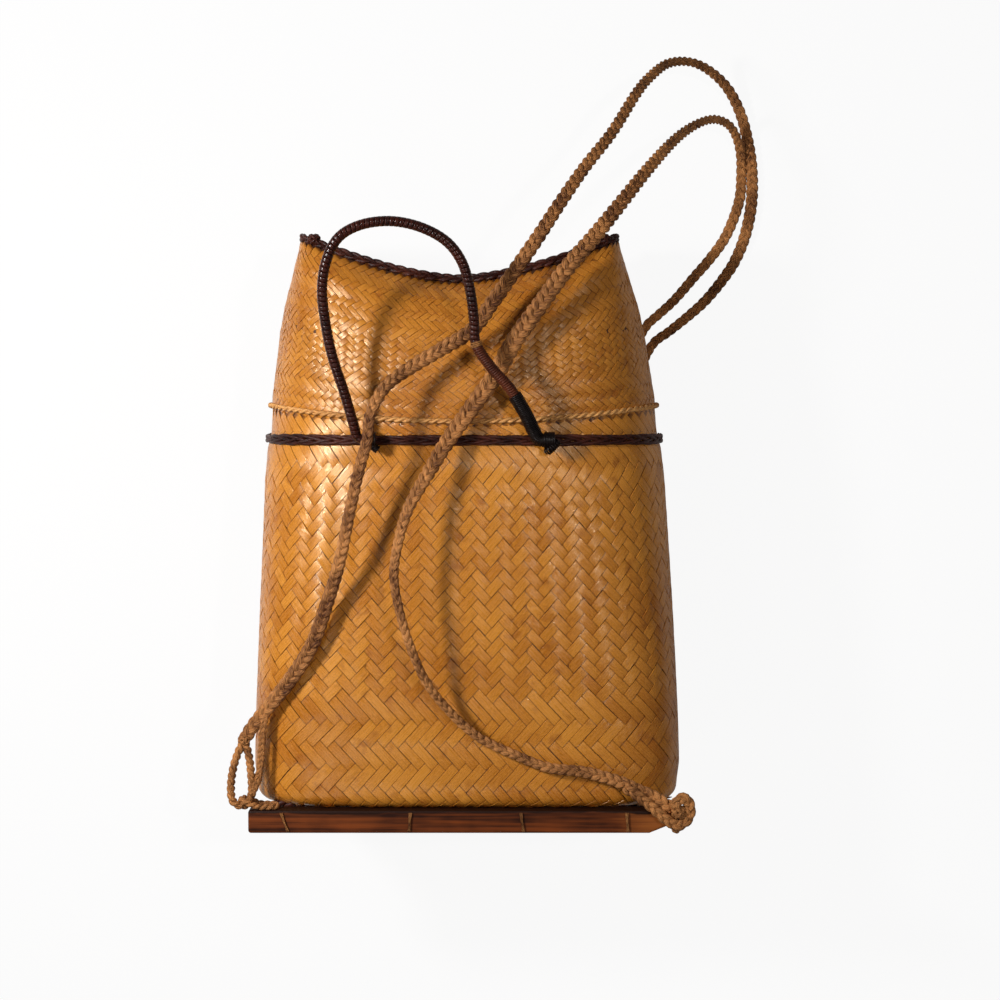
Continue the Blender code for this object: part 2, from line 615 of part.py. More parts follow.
def lid_shell():
    """The plaited lid: a hollow cap, open below, closed by its trough-shaped top."""
    rings = [lid_panel_ring(scale, 0.0) for scale in reversed(LID_PANEL_SHARES)]
    rings += [lid_ring(share, 0.0) for share in reversed(LID_ROW_SHARES)]
    rings += [lid_ring(share, LID_WALL) for share in LID_INNER_ROW_SHARES]
    rings += [lid_panel_ring(scale, LID_WALL) for scale in LID_PANEL_SHARES]
    return lofted("lid_shell", rings, finish("lid_strips", LID_STRIP_COLOUR, 0.42))


def lid_rim_cord():
    """The thin plaited cord round the lid's lower edge."""
    out = SEAT_GAP + RIM_CORD_RADIUS
    half_width, half_depth, squareness = lid_section(0.0)
    section = (half_width + out, half_depth + out, squareness)
    points = []
    for x, depth in outline(*section):
        height = lid_edge_height(x / section[0]) + RIM_CORD_RADIUS
        points.append((x + lean_at(height), height, MID_DEPTH + depth))
    return tube("lid_rim_cord", points, RIM_CORD_RADIUS, finish("rim_cord", RIM_COLOUR, 0.6), True, sides=1)


def top_edge_points(radius):
    """Middles of round pieces of a radius that rest all round the lid's top edge."""
    half_width, half_depth, squareness = lid_section(1.0)
    lift = SEAT_GAP + radius
    points = []
    for x, depth in outline(half_width, half_depth, squareness):
        across = min(abs(x) / half_width, 1.0)
        slope = math.copysign(LID_TOP_DIP * LID_TOP_POWER * across ** (LID_TOP_POWER - 1.0) / half_width, x)
        length = math.hypot(slope, 1.0)
        height = lid_top_height(across) + lift / length
        points.append((x - slope * lift / length + lean_at(height), height, MID_DEPTH + depth))
    return points


def knob(corner, label):
    """The round knot at a corner of the lid's top."""
    mesh = bmesh.new()
    bmesh.ops.create_uvsphere(mesh, u_segments=KNOB_SEGMENTS, v_segments=KNOB_RINGS, radius=KNOB_RADIUS)
    bmesh.ops.scale(mesh, vec=(1.0, KNOB_FLATNESS_SHARE, KNOB_FLATNESS_SHARE), verts=mesh.verts)
    item = solid_object("lid_knob_" + label, mesh, finish("knob_%s_braid" % label, DARK_BRAID_COLOUR, 0.5))
    item.location = place(*top_edge_points(KNOB_SEAT_RADIUS)[corner])
    return item


def trimmed(points, knots, reach):
    """A run of points between two knots, cut back so that it clears both."""
    kept = [point for point in points if min(math.dist(point, knot) for knot in knots) > reach]
    ends = []
    for end, knot in ((kept[0], knots[0]), (kept[-1], knots[1])):
        run = math.dist(end, knot)
        ends.append(tuple(k + (e - k) * reach / run for k, e in zip(knot, end)))
    return [ends[0]] + kept + [ends[1]]


def top_braids_and_knobs():
    """The dark braid on the lid's top edge, in four lengths between its corner knots."""
    edge = top_edge_points(TOP_BRAID_RADIUS)
    knots = top_edge_points(KNOB_SEAT_RADIUS)
    eighth = RING_POINTS // 8
    corners = {"right_front": eighth, "left_front": 3 * eighth, "left_back": 5 * eighth,
               "right_back": 7 * eighth}
    for label, corner in corners.items():
        knob(corner, label)
    reach = KNOB_RADIUS + SEAT_GAP + TOP_BRAID_RADIUS * TOP_BRAID_END_SHARE
    runs = {"front": (eighth, 3 * eighth), "left": (3 * eighth, 5 * eighth),
            "back": (5 * eighth, 7 * eighth), "right": (7 * eighth, 9 * eighth)}
    for label, (start, end) in runs.items():
        points = [edge[index % RING_POINTS] for index in range(start, end + 1)]
        ends = (knots[start % RING_POINTS], knots[end % RING_POINTS])
        tube("lid_top_braid_" + label, trimmed(points, ends, reach), TOP_BRAID_RADIUS,
             finish("top_braid_" + label, DARK_BRAID_COLOUR, 0.45), sides=1)


def handle_bow():
    """The bent handle with a short toe at each end, on the hinge's axis."""
    points = smooth_route(handle_route(), HANDLE_POINTS)
    thin_start, thin_end = HANDLE_THIN_SHARES
    shares = []
    for index in range(HANDLE_POINTS):
        along = index / (HANDLE_POINTS - 1)
        thin = thin_start <= along <= thin_end
        shares.append(HANDLE_THIN_RADIUS / HANDLE_RADIUS if thin else 1.0)
    return tube("handle_bow", points, HANDLE_RADIUS, finish("handle_cane", HANDLE_COLOUR, 0.35),
                shares=shares)


def winding(name, shares, turns, radius, core_radius, colour, roughness):
    """A close winding round a stretch of the handle, as one unbroken tube."""
    path = smooth_route(handle_route(), WRAP_PATH_POINTS)
    count = turns * WRAP_POINTS_PER_TURN
    half_step = math.pi / WRAP_POINTS_PER_TURN
    reach = (core_radius + SEAT_GAP + radius) / math.cos(half_step)
    points = []
    for index in range(count + 1):
        along = shares[0] + (shares[1] - shares[0]) * index / count
        base = round(along * (WRAP_PATH_POINTS - 1))
        centre = path[base]
        heading = [b - a for a, b in zip(path[base - WRAP_PATH_REACH], path[base + WRAP_PATH_REACH])]
        side, up = cross_axes(heading)
        angle = 2.0 * math.pi * index / WRAP_POINTS_PER_TURN
        points.append(tuple(c + reach * (math.cos(angle) * s + math.sin(angle) * u)
                            for c, s, u in zip(centre, side, up)))
    print(name, "least gap to itself %.2f mm" % (least_self_gap(points, radius) * 1000.0))
    return tube(name, points, radius, finish(name + "_cord", colour, roughness), sides=1)


def cross_axes(heading):
    """Two unit axes square to a heading, steady while it turns slowly."""
    length = math.hypot(*heading)
    ahead = [value / length for value in heading]
    up = [0.0, 0.0, 1.0]
    lean = sum(a * b for a, b in zip(ahead, up))
    up = [u - lean * a for u, a in zip(up, ahead)]
    size = math.hypot(*up)
    up = [value / size for value in up]
    side = [ahead[1] * up[2] - ahead[2] * up[1], ahead[2] * up[0] - ahead[0] * up[2],
            ahead[0] * up[1] - ahead[1] * up[0]]
    return side, up


def least_self_gap(points, radius):
    """Least distance between two turns of a winding's surface, measured on its points."""
    least = math.inf
    apart = WRAP_POINTS_PER_TURN // 2
    for index, point in enumerate(points):
        for other in points[index + apart:index + 2 * WRAP_POINTS_PER_TURN]:
            least = min(least, math.dist(point, other))
    return least - 2.0 * radius


def handle_lashing(side):
    """An arch of wound cord over a handle toe, its feet on the body beside the band."""
    middle = LASHING_PLACES[side]
    half_width = LASHING_WIDTH / 2
    inner = HANDLE_RADIUS + LASHING_CLEARANCE
    outer = inner + LASHING_THICKNESS
    foot = 0.0
    for x in (middle - half_width, middle, middle + half_width):
        for height in (BAND_HEIGHT - outer, BAND_HEIGHT + inner):
            section = body_section(height)
            foot = max(foot, MID_DEPTH + surface_depth(section, x - lean_at(height)))
    foot += SEAT_GAP
    arch = [(-outer, foot)]
    for step in range(LASHING_ARCH_STEPS + 1):
        angle = math.pi * (1.0 - step / LASHING_ARCH_STEPS)
        arch.append((outer * math.cos(angle), HINGE_DEPTH + outer * math.sin(angle)))
    arch.append((outer, foot))
    arch.append((inner, foot))
    for step in range(LASHING_ARCH_STEPS + 1):
        angle = math.pi * step / LASHING_ARCH_STEPS
        arch.append((inner * math.cos(angle), HINGE_DEPTH + inner * math.sin(angle)))
    arch.append((-inner, foot))
    rings = []
    for x in (middle - half_width, middle + half_width):
        rings.append([place(x, BAND_HEIGHT + up, z) for up, z in arch])
    return lofted("handle_lashing_" + side, rings,
                  finish("lashing_%s_cord" % side, BLACK_WRAP_COLOUR, 0.5))


def strap(side, route):
    """A braided shoulder strap, at its whole length."""
    points = smooth_route(route, STRAP_POINTS)
    return tube("strap_" + side, points, STRAP_RADIUS, finish("strap_%s_fibre" % side, FIBRE_COLOUR, 0.75))


def small_loop(name, route, radius):
    """A closed loop of cord through its route's points."""
    points = smooth_route(route, SMALL_LOOP_POINTS, cyclic=True)
    return tube(name, points, radius, finish(name + "_fibre", FIBRE_COLOUR, 0.75), cyclic=True, sides=1)


def strap_right_wrap():
    """The right strap's end, wound round the thinned end of the front runner."""
    out = SEAT_GAP + WRAP_LOOP_RADIUS
    x = FOOT_HALF_LENGTH - WRAP_LOOP_INSET
    low = RUNNER_TAPER_RISE
    high = FOOT_HEIGHT - RUNNER_TAPER_DROP
    front = MID_DEPTH + RUNNER_FACE_DEPTH
    back = front - RUNNER_DEPTH
    points = []
    for quarter, (height, z) in enumerate([(high, front), (high, back), (low, back), (low, front)]):
        for step in range(WRAP_LOOP_CORNER_STEPS + 1):
            angle = math.pi / 2 * (quarter + step / WRAP_LOOP_CORNER_STEPS)
            points.append((x, height + out * math.sin(angle), z + out * math.cos(angle)))
    return tube("strap_right_wrap", points, WRAP_LOOP_RADIUS, finish("wrap_fibre", FIBRE_COLOUR, 0.75),
                cyclic=True)


def main():
    """Make every piece of the basket."""
    clear_scene()
    basket_body()
    neck_rim_hoop()
    waist_band()
    for side in (1, -1):
        runner(side)
        for number, share in enumerate(TIE_PLACE_SHARES, start=1):
            runner_tie(side, number, share)
    for side, share in SLAT_PLACE_SHARES:
        cross_slat(side, share)
    lid_shell()
    lid_rim_cord()
    top_braids_and_knobs()
    handle_bow()
    winding("handle_fine_wrap", FINE_WRAP_SHARES, FINE_WRAP_TURNS, FINE_WRAP_RADIUS,
            HANDLE_THIN_RADIUS, FINE_WRAP_COLOUR, 0.5)
    winding("handle_black_wrap", BLACK_WRAP_SHARES, BLACK_WRAP_TURNS, BLACK_WRAP_RADIUS,
            HANDLE_RADIUS, BLACK_WRAP_COLOUR, 0.4)
    for side in LASHING_PLACES:
        handle_lashing(side)
    strap("left", risen(STRAP_LEFT_ACROSS, STRAP_LEFT_RISE_SHARES, strap_depths(STRAP_LEFT_DEPTH_SHARES)))
    strap("right", risen(STRAP_RIGHT_ACROSS, STRAP_RIGHT_RISE_SHARES, strap_depths(STRAP_RIGHT_DEPTH_SHARES)))
    eye = risen(EYE_ACROSS, EYE_RISE_SHARES, strap_depths(EYE_DEPTH_SHARES))
    small_loop("strap_left_eye", eye, EYE_RADIUS)
    small_loop("corner_ring_left", corner_ring_route(), CORNER_RING_RADIUS)
    small_loop("strap_anchor_ring", anchor_route(), ANCHOR_RADIUS)
    strap_right_wrap()


main()
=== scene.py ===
"""Looks of a lidded pack basket that lies on its back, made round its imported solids.

Everything is in metres: +Y runs from the wooden foot to the lid's top, +X is the right
side and +Z is up. Heights are measured along Y from the foot's underside.
"""

import json
import logging
import math
from dataclasses import dataclass, replace
from enum import Enum
from functools import reduce
from typing import Callable, Optional, Sequence

import bmesh
import bpy
import numpy as np
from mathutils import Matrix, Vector

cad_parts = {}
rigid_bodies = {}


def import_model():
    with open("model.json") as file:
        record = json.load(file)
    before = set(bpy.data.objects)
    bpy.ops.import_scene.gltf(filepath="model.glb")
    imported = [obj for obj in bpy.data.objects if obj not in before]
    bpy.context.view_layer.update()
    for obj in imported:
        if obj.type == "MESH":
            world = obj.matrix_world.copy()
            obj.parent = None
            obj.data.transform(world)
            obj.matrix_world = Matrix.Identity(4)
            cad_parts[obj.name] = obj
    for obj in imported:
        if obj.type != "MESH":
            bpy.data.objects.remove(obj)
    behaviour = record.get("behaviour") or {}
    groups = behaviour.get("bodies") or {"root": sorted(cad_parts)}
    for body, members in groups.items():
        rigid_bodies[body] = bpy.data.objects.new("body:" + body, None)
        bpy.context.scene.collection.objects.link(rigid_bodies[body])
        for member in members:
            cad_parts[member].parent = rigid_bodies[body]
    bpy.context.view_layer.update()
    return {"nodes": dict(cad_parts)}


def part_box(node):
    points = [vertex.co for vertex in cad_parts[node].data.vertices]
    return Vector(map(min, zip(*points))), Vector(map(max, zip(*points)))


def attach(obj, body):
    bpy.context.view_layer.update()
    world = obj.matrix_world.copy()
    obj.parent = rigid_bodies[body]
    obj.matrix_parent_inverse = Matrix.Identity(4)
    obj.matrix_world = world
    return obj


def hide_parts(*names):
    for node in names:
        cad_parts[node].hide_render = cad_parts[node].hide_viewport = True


LOG = logging.getLogger("pack_basket")
ORIGIN_HEIGHT = 0.20135
MID_DEPTH = 0.0835
ROUTE_UNIT = 0.0001
TURN = 2.0 * math.pi
RIGHT = np.array([1.0, 0.0, 0.0])
TOWARDS_LID = np.array([0.0, 1.0, 0.0])
UP = np.array([0.0, 0.0, 1.0])
STREAKS = "fibre_streaks"
UV_NAME = "strip"
SLANT = 0.7071
NEVER = 9.0

Material = bpy.types.Material
Piece = bpy.types.Object
Socket = bpy.types.NodeSocket
Colour = tuple[float, float, float]
Layers = tuple[Socket, Optional[Socket], Socket]
Route = Sequence[Sequence[int]]
Section = tuple[np.ndarray, np.ndarray, np.ndarray]
SurfaceMap = Callable[[np.ndarray, np.ndarray], np.ndarray]


class Lean(Enum):
    """Which way a zone's floats lean."""

    RISING = "rising"
    FALLING = "falling"
    ZIGZAG = "zigzag"


class Body(Enum):
    """The bodies that pieces ride on."""

    BASKET = "basket"
    LID = "lid"
    HANDLE = "handle"


# Node sheets


class NodeSheet:
    """Adds and joins nodes of one node tree."""

    def __init__(self, tree: bpy.types.NodeTree) -> None:
        """Keep the node tree that is filled."""
        self.tree = tree

    def feed(self, socket: Socket, value: object) -> None:
        """Link an output to an input, or set the input's own value.

        Args:
            socket: The input.
            value: An output, a number, a vector, or a colour without its alpha.
        """
        if isinstance(value, Socket):
            self.tree.links.new(value, socket)
        elif socket.type == "RGBA":
            socket.default_value = (*value, 1.0)
        else:
            socket.default_value = value

    def add(self, kind: str, inputs: Optional[dict] = None, **values: object) -> bpy.types.Node:
        """Add a node.

        Args:
            kind: The node's type name.
            inputs: What each input gets, by the input's name or number.
            values: Properties of the node by name.

        Returns:
            The new node.
        """
        node = self.tree.nodes.new(kind)
        for name, value in values.items():
            setattr(node, name, value)
        for key, value in (inputs or {}).items():
            self.feed(node.inputs[key], value)
        return node

    def math(self, operation: str, first: object, second: object = 0.0) -> Socket:
        """Output of a Math node over two numbers or outputs."""
        return self.add("ShaderNodeMath", {0: first, 1: second}, operation=operation).outputs[0]

    def total(self, *parts: Socket) -> Socket:
        """Output of a chain of sums."""
        return reduce(lambda first, second: self.math("ADD", first, second), parts)

    def span(self, value: Socket, low: float, high: float, to_low: float = 0.0,
             to_high: float = 1.0) -> Socket:
        """Map a value from one span to another, clamped.

        Args:
            value: The value's output.
            low: Start of the span it comes from.
            high: End of the span it comes from.
            to_low: What low becomes.
            to_high: What high becomes.

        Returns:
            The mapped value's output.
        """
        ends = {"From Min": low, "From Max": high, "To Min": to_low, "To Max": to_high}
        return self.add("ShaderNodeMapRange", {"Value": value, **ends}).outputs["Result"]

    def mix(self, share: Socket, first: object, second: object) -> Socket:
        """Mix two colours.

        Args:
            share: An output, 0 for the first colour.
            first: A colour or an output.
            second: A colour or an output.

        Returns:
            The mixed colour's output.
        """
        return self.add("ShaderNodeMix", {0: share, 6: first, 7: second}, data_type="RGBA").outputs[2]

    def noise(self, place: Socket, scale: float, detail: float = 3.0,
              stretch: Sequence[float] = (1.0, 1.0, 1.0)) -> Socket:
        """Add a noise over stretched coordinates.

        Args:
            place: The coordinates' output.
            scale: The noise's scale.
            detail: Its octaves.
            stretch: Factors on the coordinates.

        Returns:
            The noise's value, about 0.5 in the middle.
        """
        mapping = self.add("ShaderNodeMapping", {"Vector": place, "Scale": stretch})
        inputs = {"Scale": scale, "Detail": detail, "Vector": mapping.outputs["Vector"]}
        return self.add("ShaderNodeTexNoise", inputs).outputs["Fac"]

    def place(self) -> Socket:
        """Coordinates of the piece."""
        return self.add("ShaderNodeTexCoord").outputs["Object"]

    def parts(self, place: Socket) -> Sequence[Socket]:
        """Split coordinates into X, Y and Z."""
        return self.add("ShaderNodeSeparateXYZ", {0: place}).outputs

    def attribute(self, name: str) -> Socket:
        """A number that each vertex carries."""
        return self.add("ShaderNodeAttribute", attribute_name=name).outputs["Fac"]

    def streaks(self, along: float, across: float) -> tuple[Socket, Socket]:
        """Fine fibre streaks that run along a piece's own length.

        Args:
            along: Streaks in a metre along the piece.
            across: Factor on the place across it.

        Returns:
            The streaks' and the broad patches' outputs.
        """
        place = self.add("ShaderNodeUVMap", uv_map=UV_NAME).outputs[0]
        inputs = {"Place": place, "Along": along, "Across": across}
        group = self.add("ShaderNodeGroup", inputs, node_tree=streak_group())
        return group.outputs["Streak"], group.outputs["Patch"]


def streak_group() -> bpy.types.NodeTree:
    """Find or build the group that the finishes share.

    Returns:
        The group: Along and Across stretch the streaks, Streak and Patch come out.
    """
    if STREAKS in bpy.data.node_groups:
        return bpy.data.node_groups[STREAKS]
    tree = bpy.data.node_groups.new(STREAKS, "ShaderNodeTree")
    for label, way, kind in (("Place", "INPUT", "Vector"), ("Along", "INPUT", "Float"),
                             ("Across", "INPUT", "Float"), ("Streak", "OUTPUT", "Float"),
                             ("Patch", "OUTPUT", "Float")):
        tree.interface.new_socket(label, in_out=way, socket_type="NodeSocket" + kind)
    sheet = NodeSheet(tree)
    given = sheet.add("NodeGroupInput").outputs
    end = sheet.add("NodeGroupOutput")
    split = sheet.parts(given["Place"])
    stretched = {0: sheet.math("MULTIPLY", split[0], given["Along"]),
                 1: sheet.math("MULTIPLY", split[1], given["Across"]), 2: split[2]}
    place = sheet.add("ShaderNodeCombineXYZ", stretched).outputs[0]
    for label, scale, detail in (("Streak", 1.0, 4.0), ("Patch", 0.23, 2.0)):
        noise = sheet.add("ShaderNodeTexNoise", {"Scale": scale, "Detail": detail, "Vector": place})
        sheet.feed(end.inputs[label], noise.outputs["Fac"])
    return tree


# Finishes


@dataclass(frozen=True)
class Finish:
    """What every finish has: a name, its gloss and its bump."""

    name: str
    roughness: float = 0.5
    rough_low: float = 0.0
    rough_high: float = 0.0
    bump: float = 0.3
    bump_depth: float = 0.0003
    specular: float = 0.5
    specular_tint: Colour = (1.0, 1.0, 1.0)

    def layers(self, sheet: NodeSheet) -> Layers:
        """Add the nodes that are this finish's own.

        Args:
            sheet: The material's node sheet.

        Returns:
            Outputs of the colour, of what varies the gloss if anything does, and of the bump's height.
        """
        raise NotImplementedError

    def build(self) -> Material:
        """Make the material.

        Returns:
            The new material.
        """
        material = bpy.data.materials.new(self.name)
        material.use_nodes = True
        sheet = NodeSheet(material.node_tree)
        colour, gloss, height = self.layers(sheet)
        rough = self.roughness
        if gloss is not None:
            rough = sheet.span(gloss, 0.3, 0.7, rough + self.rough_low, rough + self.rough_high)
        inputs = {"Strength": self.bump, "Distance": self.bump_depth, "Height": height}
        normal = sheet.add("ShaderNodeBump", inputs).outputs["Normal"]
        shader = material.node_tree.nodes["Principled BSDF"]
        for label, value in (("Base Color", colour), ("Roughness", rough), ("Normal", normal),
                             ("Specular IOR Level", self.specular), ("Specular Tint", self.specular_tint)):
            sheet.feed(shader.inputs[label], value)
        return material


@dataclass(frozen=True)
class StripFinish(Finish):
    """Split bamboo strips, each with its own tint and fine grain, and rims darkened partly as dark joints and
    partly as painted shade where they dive under crossing strips.
    """

    rough_low: float = -0.15
    rough_high: float = 0.14
    specular: float = 0.70
    specular_tint: Colour = (1.0, 0.84, 0.60)
    pale: Colour = (0.66, 0.270, 0.035)
    deep: Colour = (0.36, 0.104, 0.005)
    # edge is the colour of the painted shade at the strips' rims and diving ends.
    edge: Colour = (0.090, 0.020, 0.003)
    stain: Colour = (0.24, 0.056, 0.006)

    def layers(self, sheet: NodeSheet) -> Layers:
        """Tinted strips with grain, spots, and rims darkened with painted shade."""
        streak, patch = sheet.streaks(260.0, 5200.0)
        place = sheet.place()
        share = sheet.total(sheet.span(sheet.attribute("tint"), 0.0, 1.0, 0.08, 0.62),
                            sheet.span(streak, 0.3, 0.7, -0.26, 0.30),
                            sheet.span(sheet.noise(place, 13.0, 2.0), 0.35, 0.65, -0.20, 0.22),
                            sheet.span(sheet.noise(place, 1300.0), 0.3, 0.7, -0.38, 0.38))
        colour = sheet.mix(share, self.pale, self.deep)
        spots = sheet.span(sheet.noise(place, 95.0), 0.58, 0.74, 0.0, 0.55)
        colour = sheet.mix(spots, colour, self.stain)
        # Painted shade: strips darken towards their sides, where they meet, and towards the ends that dive
        # under crossing strips.
        colour = sheet.mix(sheet.span(sheet.attribute("rim"), 0.55, 1.0, 0.0, 0.9), colour, self.edge)
        return colour, patch, sheet.total(streak, sheet.math("MULTIPLY", patch, 1.5))


@dataclass(frozen=True)
class UnderFinish(Finish):
    """The shaded strips seen in the gaps, and the plain plaiting of the neck and the inside."""

    roughness: float = 0.7
    # Colour of the painted shade under and between the woven strips.
    gap_shade: Colour = (0.060, 0.020, 0.005)
    strip: Colour = (0.50, 0.205, 0.036)
    strip_width: float = 0.0072
    inner_half_width: float = 0.128
    inner_low: float = 0.0704
    inner_rise: float = 0.0104

    def layers(self, sheet: NodeSheet) -> Layers:
        """Painted shade where woven strips cover the shell and along the neck strips' borders, and plaited
        above the lid's edge.
        """
        place = sheet.place()
        x, y, z = sheet.parts(place)
        side = sheet.total(x, z)
        ways = [sheet.math("MULTIPLY", sheet.math(way, side, y), SLANT / self.strip_width)
                for way in ("ADD", "SUBTRACT")]
        checks = sheet.total(*(sheet.math("FLOOR", way) for way in ways))
        over = sheet.span(sheet.math("FRACT", sheet.math("MULTIPLY", checks, 0.25)), 0.49, 0.51)
        first, second = (sheet.math("FRACT", way) for way in ways)
        across = sheet.add("ShaderNodeMix", {0: over, 2: first, 3: second}).outputs[0]
        middle = sheet.math("ABSOLUTE", sheet.math("SUBTRACT", across, 0.5))
        crown = sheet.span(middle, 0.38, 0.5, 1.0, 0.0)
        shaded = tuple(0.72 * part for part in self.strip)
        colour = sheet.mix(sheet.span(sheet.noise(place, 120.0), 0.3, 0.7), self.strip, shaded)
        # Painted shade: the strips' borders, and all of the shell below inner_low, take the shade colour.
        colour = sheet.mix(crown, self.gap_shade, colour)
        rise = self.inner_rise / self.inner_half_width ** 2
        bow = sheet.math("MULTIPLY", sheet.math("MULTIPLY", x, x), rise)
        neck = sheet.span(sheet.math("SUBTRACT", y, bow), self.inner_low, self.inner_low + 0.0006)
        return sheet.mix(neck, self.gap_shade, colour), None, crown


@dataclass(frozen=True)
class FibreFinish(Finish):
    """Plied plant fibre with streaks along each strand."""

    rough_low: float = -0.08
    rough_high: float = 0.1
    specular: float = 0.35
    light: Colour = (0.66, 0.288, 0.088)
    dark: Colour = (0.068, 0.018, 0.005)
    along: float = 420.0
    across: float = 9.0

    def layers(self, sheet: NodeSheet) -> Layers:
        """Streaked strands, each with its own tint."""
        streak, patch = sheet.streaks(self.along, self.across)
        share = sheet.total(sheet.span(streak, 0.32, 0.68),
                            sheet.span(sheet.noise(sheet.place(), 55.0, 2.0), 0.3, 0.7, -0.3, 0.3),
                            sheet.span(sheet.attribute("tint"), 0.0, 1.0, -0.12, 0.12))
        return sheet.mix(share, self.dark, self.light), patch, streak


@dataclass(frozen=True)
class WoodFinish(Finish):
    """Split and worn wood with grain along a line, a paler break at one end and a shaded top."""

    rough_low: float = 0.12
    rough_high: float = -0.08
    specular: float = 0.14
    light: Colour = (0.205, 0.047, 0.009)
    dark: Colour = (0.026, 0.006, 0.002)
    broken: Colour = (0.34, 0.105, 0.020)
    break_start: float = 0.100
    stretch: tuple[float, float, float] = (14.0, 420.0, 260.0)
    shade_start: float = NEVER
    shade: Colour = (0.018, 0.005, 0.002)

    def layers(self, sheet: NodeSheet) -> Layers:
        """Grain with worn patches, the break and the shade."""
        place = sheet.place()
        x, y = sheet.parts(place)[:2]
        grain = sheet.noise(place, 1.0, 5.0, self.stretch)
        patch = sheet.noise(place, 30.0)
        share = sheet.total(sheet.span(grain, 0.3, 0.7), sheet.span(patch, 0.3, 0.7, -0.35, 0.30))
        colour = sheet.mix(share, self.dark, self.light)
        reach = sheet.total(x, sheet.span(grain, 0.2, 0.8, -0.02, 0.02))
        fresh = sheet.span(reach, self.break_start, self.break_start + 0.025, 0.0, 0.8)
        colour = sheet.mix(fresh, colour, self.broken)
        height = sheet.total(y, sheet.span(patch, 0.3, 0.7, -0.0014, 0.0014))
        shaded = sheet.span(height, self.shade_start, self.shade_start + 0.0012)
        return sheet.mix(shaded, colour, self.shade), grain, grain


# Lines and surfaces


def unit(vectors: np.ndarray) -> np.ndarray:
    """Vectors of length one in the same directions."""
    return vectors / np.maximum(np.linalg.norm(vectors, axis=-1, keepdims=True), 1e-12)


def square_to(vectors: np.ndarray, run: np.ndarray) -> np.ndarray:
    """Unit vectors nearest to given ones that are square to a run of unit directions."""
    return unit(vectors - run * np.sum(vectors * run, axis=1, keepdims=True))


def heading(line: np.ndarray, closed: bool = False) -> np.ndarray:
    """Unit direction along a line at each of its points; a closed one ends where it starts."""
    run = np.gradient(line, axis=0)
    if closed:
        run[0] = run[-1] = line[1] - line[-2]
    return unit(run)


def lengths_along(line: np.ndarray) -> np.ndarray:
    """Length of a line up to each of its points."""
    return np.concatenate([[0.0], np.cumsum(np.linalg.norm(np.diff(line, axis=0), axis=1))])


def sample(line: np.ndarray, marks: np.ndarray, wanted: np.ndarray) -> np.ndarray:
    """Points of a line at wanted places, on a scale on which its own points lie at the marks."""
    return np.stack([np.interp(wanted, marks, line[:, axis]) for axis in range(3)], axis=-1)


def world_route(route: Route) -> np.ndarray:
    """Turn route points (x, height, z), in tenths of a millimetre, into world points."""
    return np.array(route) * ROUTE_UNIT - ORIGIN_HEIGHT * TOWARDS_LID


def smooth_path(knots: np.ndarray, count: int, cyclic: bool = False, steps: int = 12) -> np.ndarray:
    """Evenly spaced points on a smooth curve through given points.

    Args:
        knots: The points that the curve goes through.
        count: How many points to give.
        cyclic: Whether the curve closes on itself.
        steps: Points between two of the knots.

    Returns:
        An array of points, which leaves out the first point's repeat on a closed curve.
    """
    total = len(knots)
    part = (np.arange(steps) / steps)[:, None]
    dense = []
    for span in range(total if cyclic else total - 1):
        index = [span + offset for offset in (-1, 0, 1, 2)]
        index = [i % total if cyclic else min(max(i, 0), total - 1) for i in index]
        p0, p1, p2, p3 = (knots[i] for i in index)
        dense.append(0.5 * (2.0 * p1 + (p2 - p0) * part + (2.0 * p0 - 5.0 * p1 + 4.0 * p2 - p3) * part ** 2
                            + (3.0 * p1 - p0 - 3.0 * p2 + p3) * part ** 3))
    line = np.concatenate(dense + [knots[:1] if cyclic else knots[-1:]])
    lengths = lengths_along(line)
    wanted = np.linspace(0.0, lengths[-1], count + 1)[:-1] if cyclic else np.linspace(0.0, lengths[-1], count)
    return sample(line, lengths, wanted)


def outline_outward(path: np.ndarray) -> np.ndarray:
    """Unit directions square to a closed path round the basket, pointing away from its middle."""
    run = np.roll(path, -1, axis=0) - np.roll(path, 1, axis=0)
    run[:, 1] = 0.0
    out = unit(np.cross(run, TOWARDS_LID))
    return out * np.sign(np.sum(out * (path - path.mean(axis=0)), axis=1, keepdims=True))


@dataclass(frozen=True)
class Profile:
    """A size that changes along the basket: shares of its full value at places from 0 to 1."""

    full: float
    places: tuple[float, ...]
    shares: tuple[float, ...]

    def at(self, place: np.ndarray) -> np.ndarray:
        """The size at places."""
        return self.full * np.interp(place, self.places, self.shares)


LID_PLACES = (0.0, 0.062, 0.277, 0.462, 0.616, 0.77, 0.863, 0.955, 1.0)


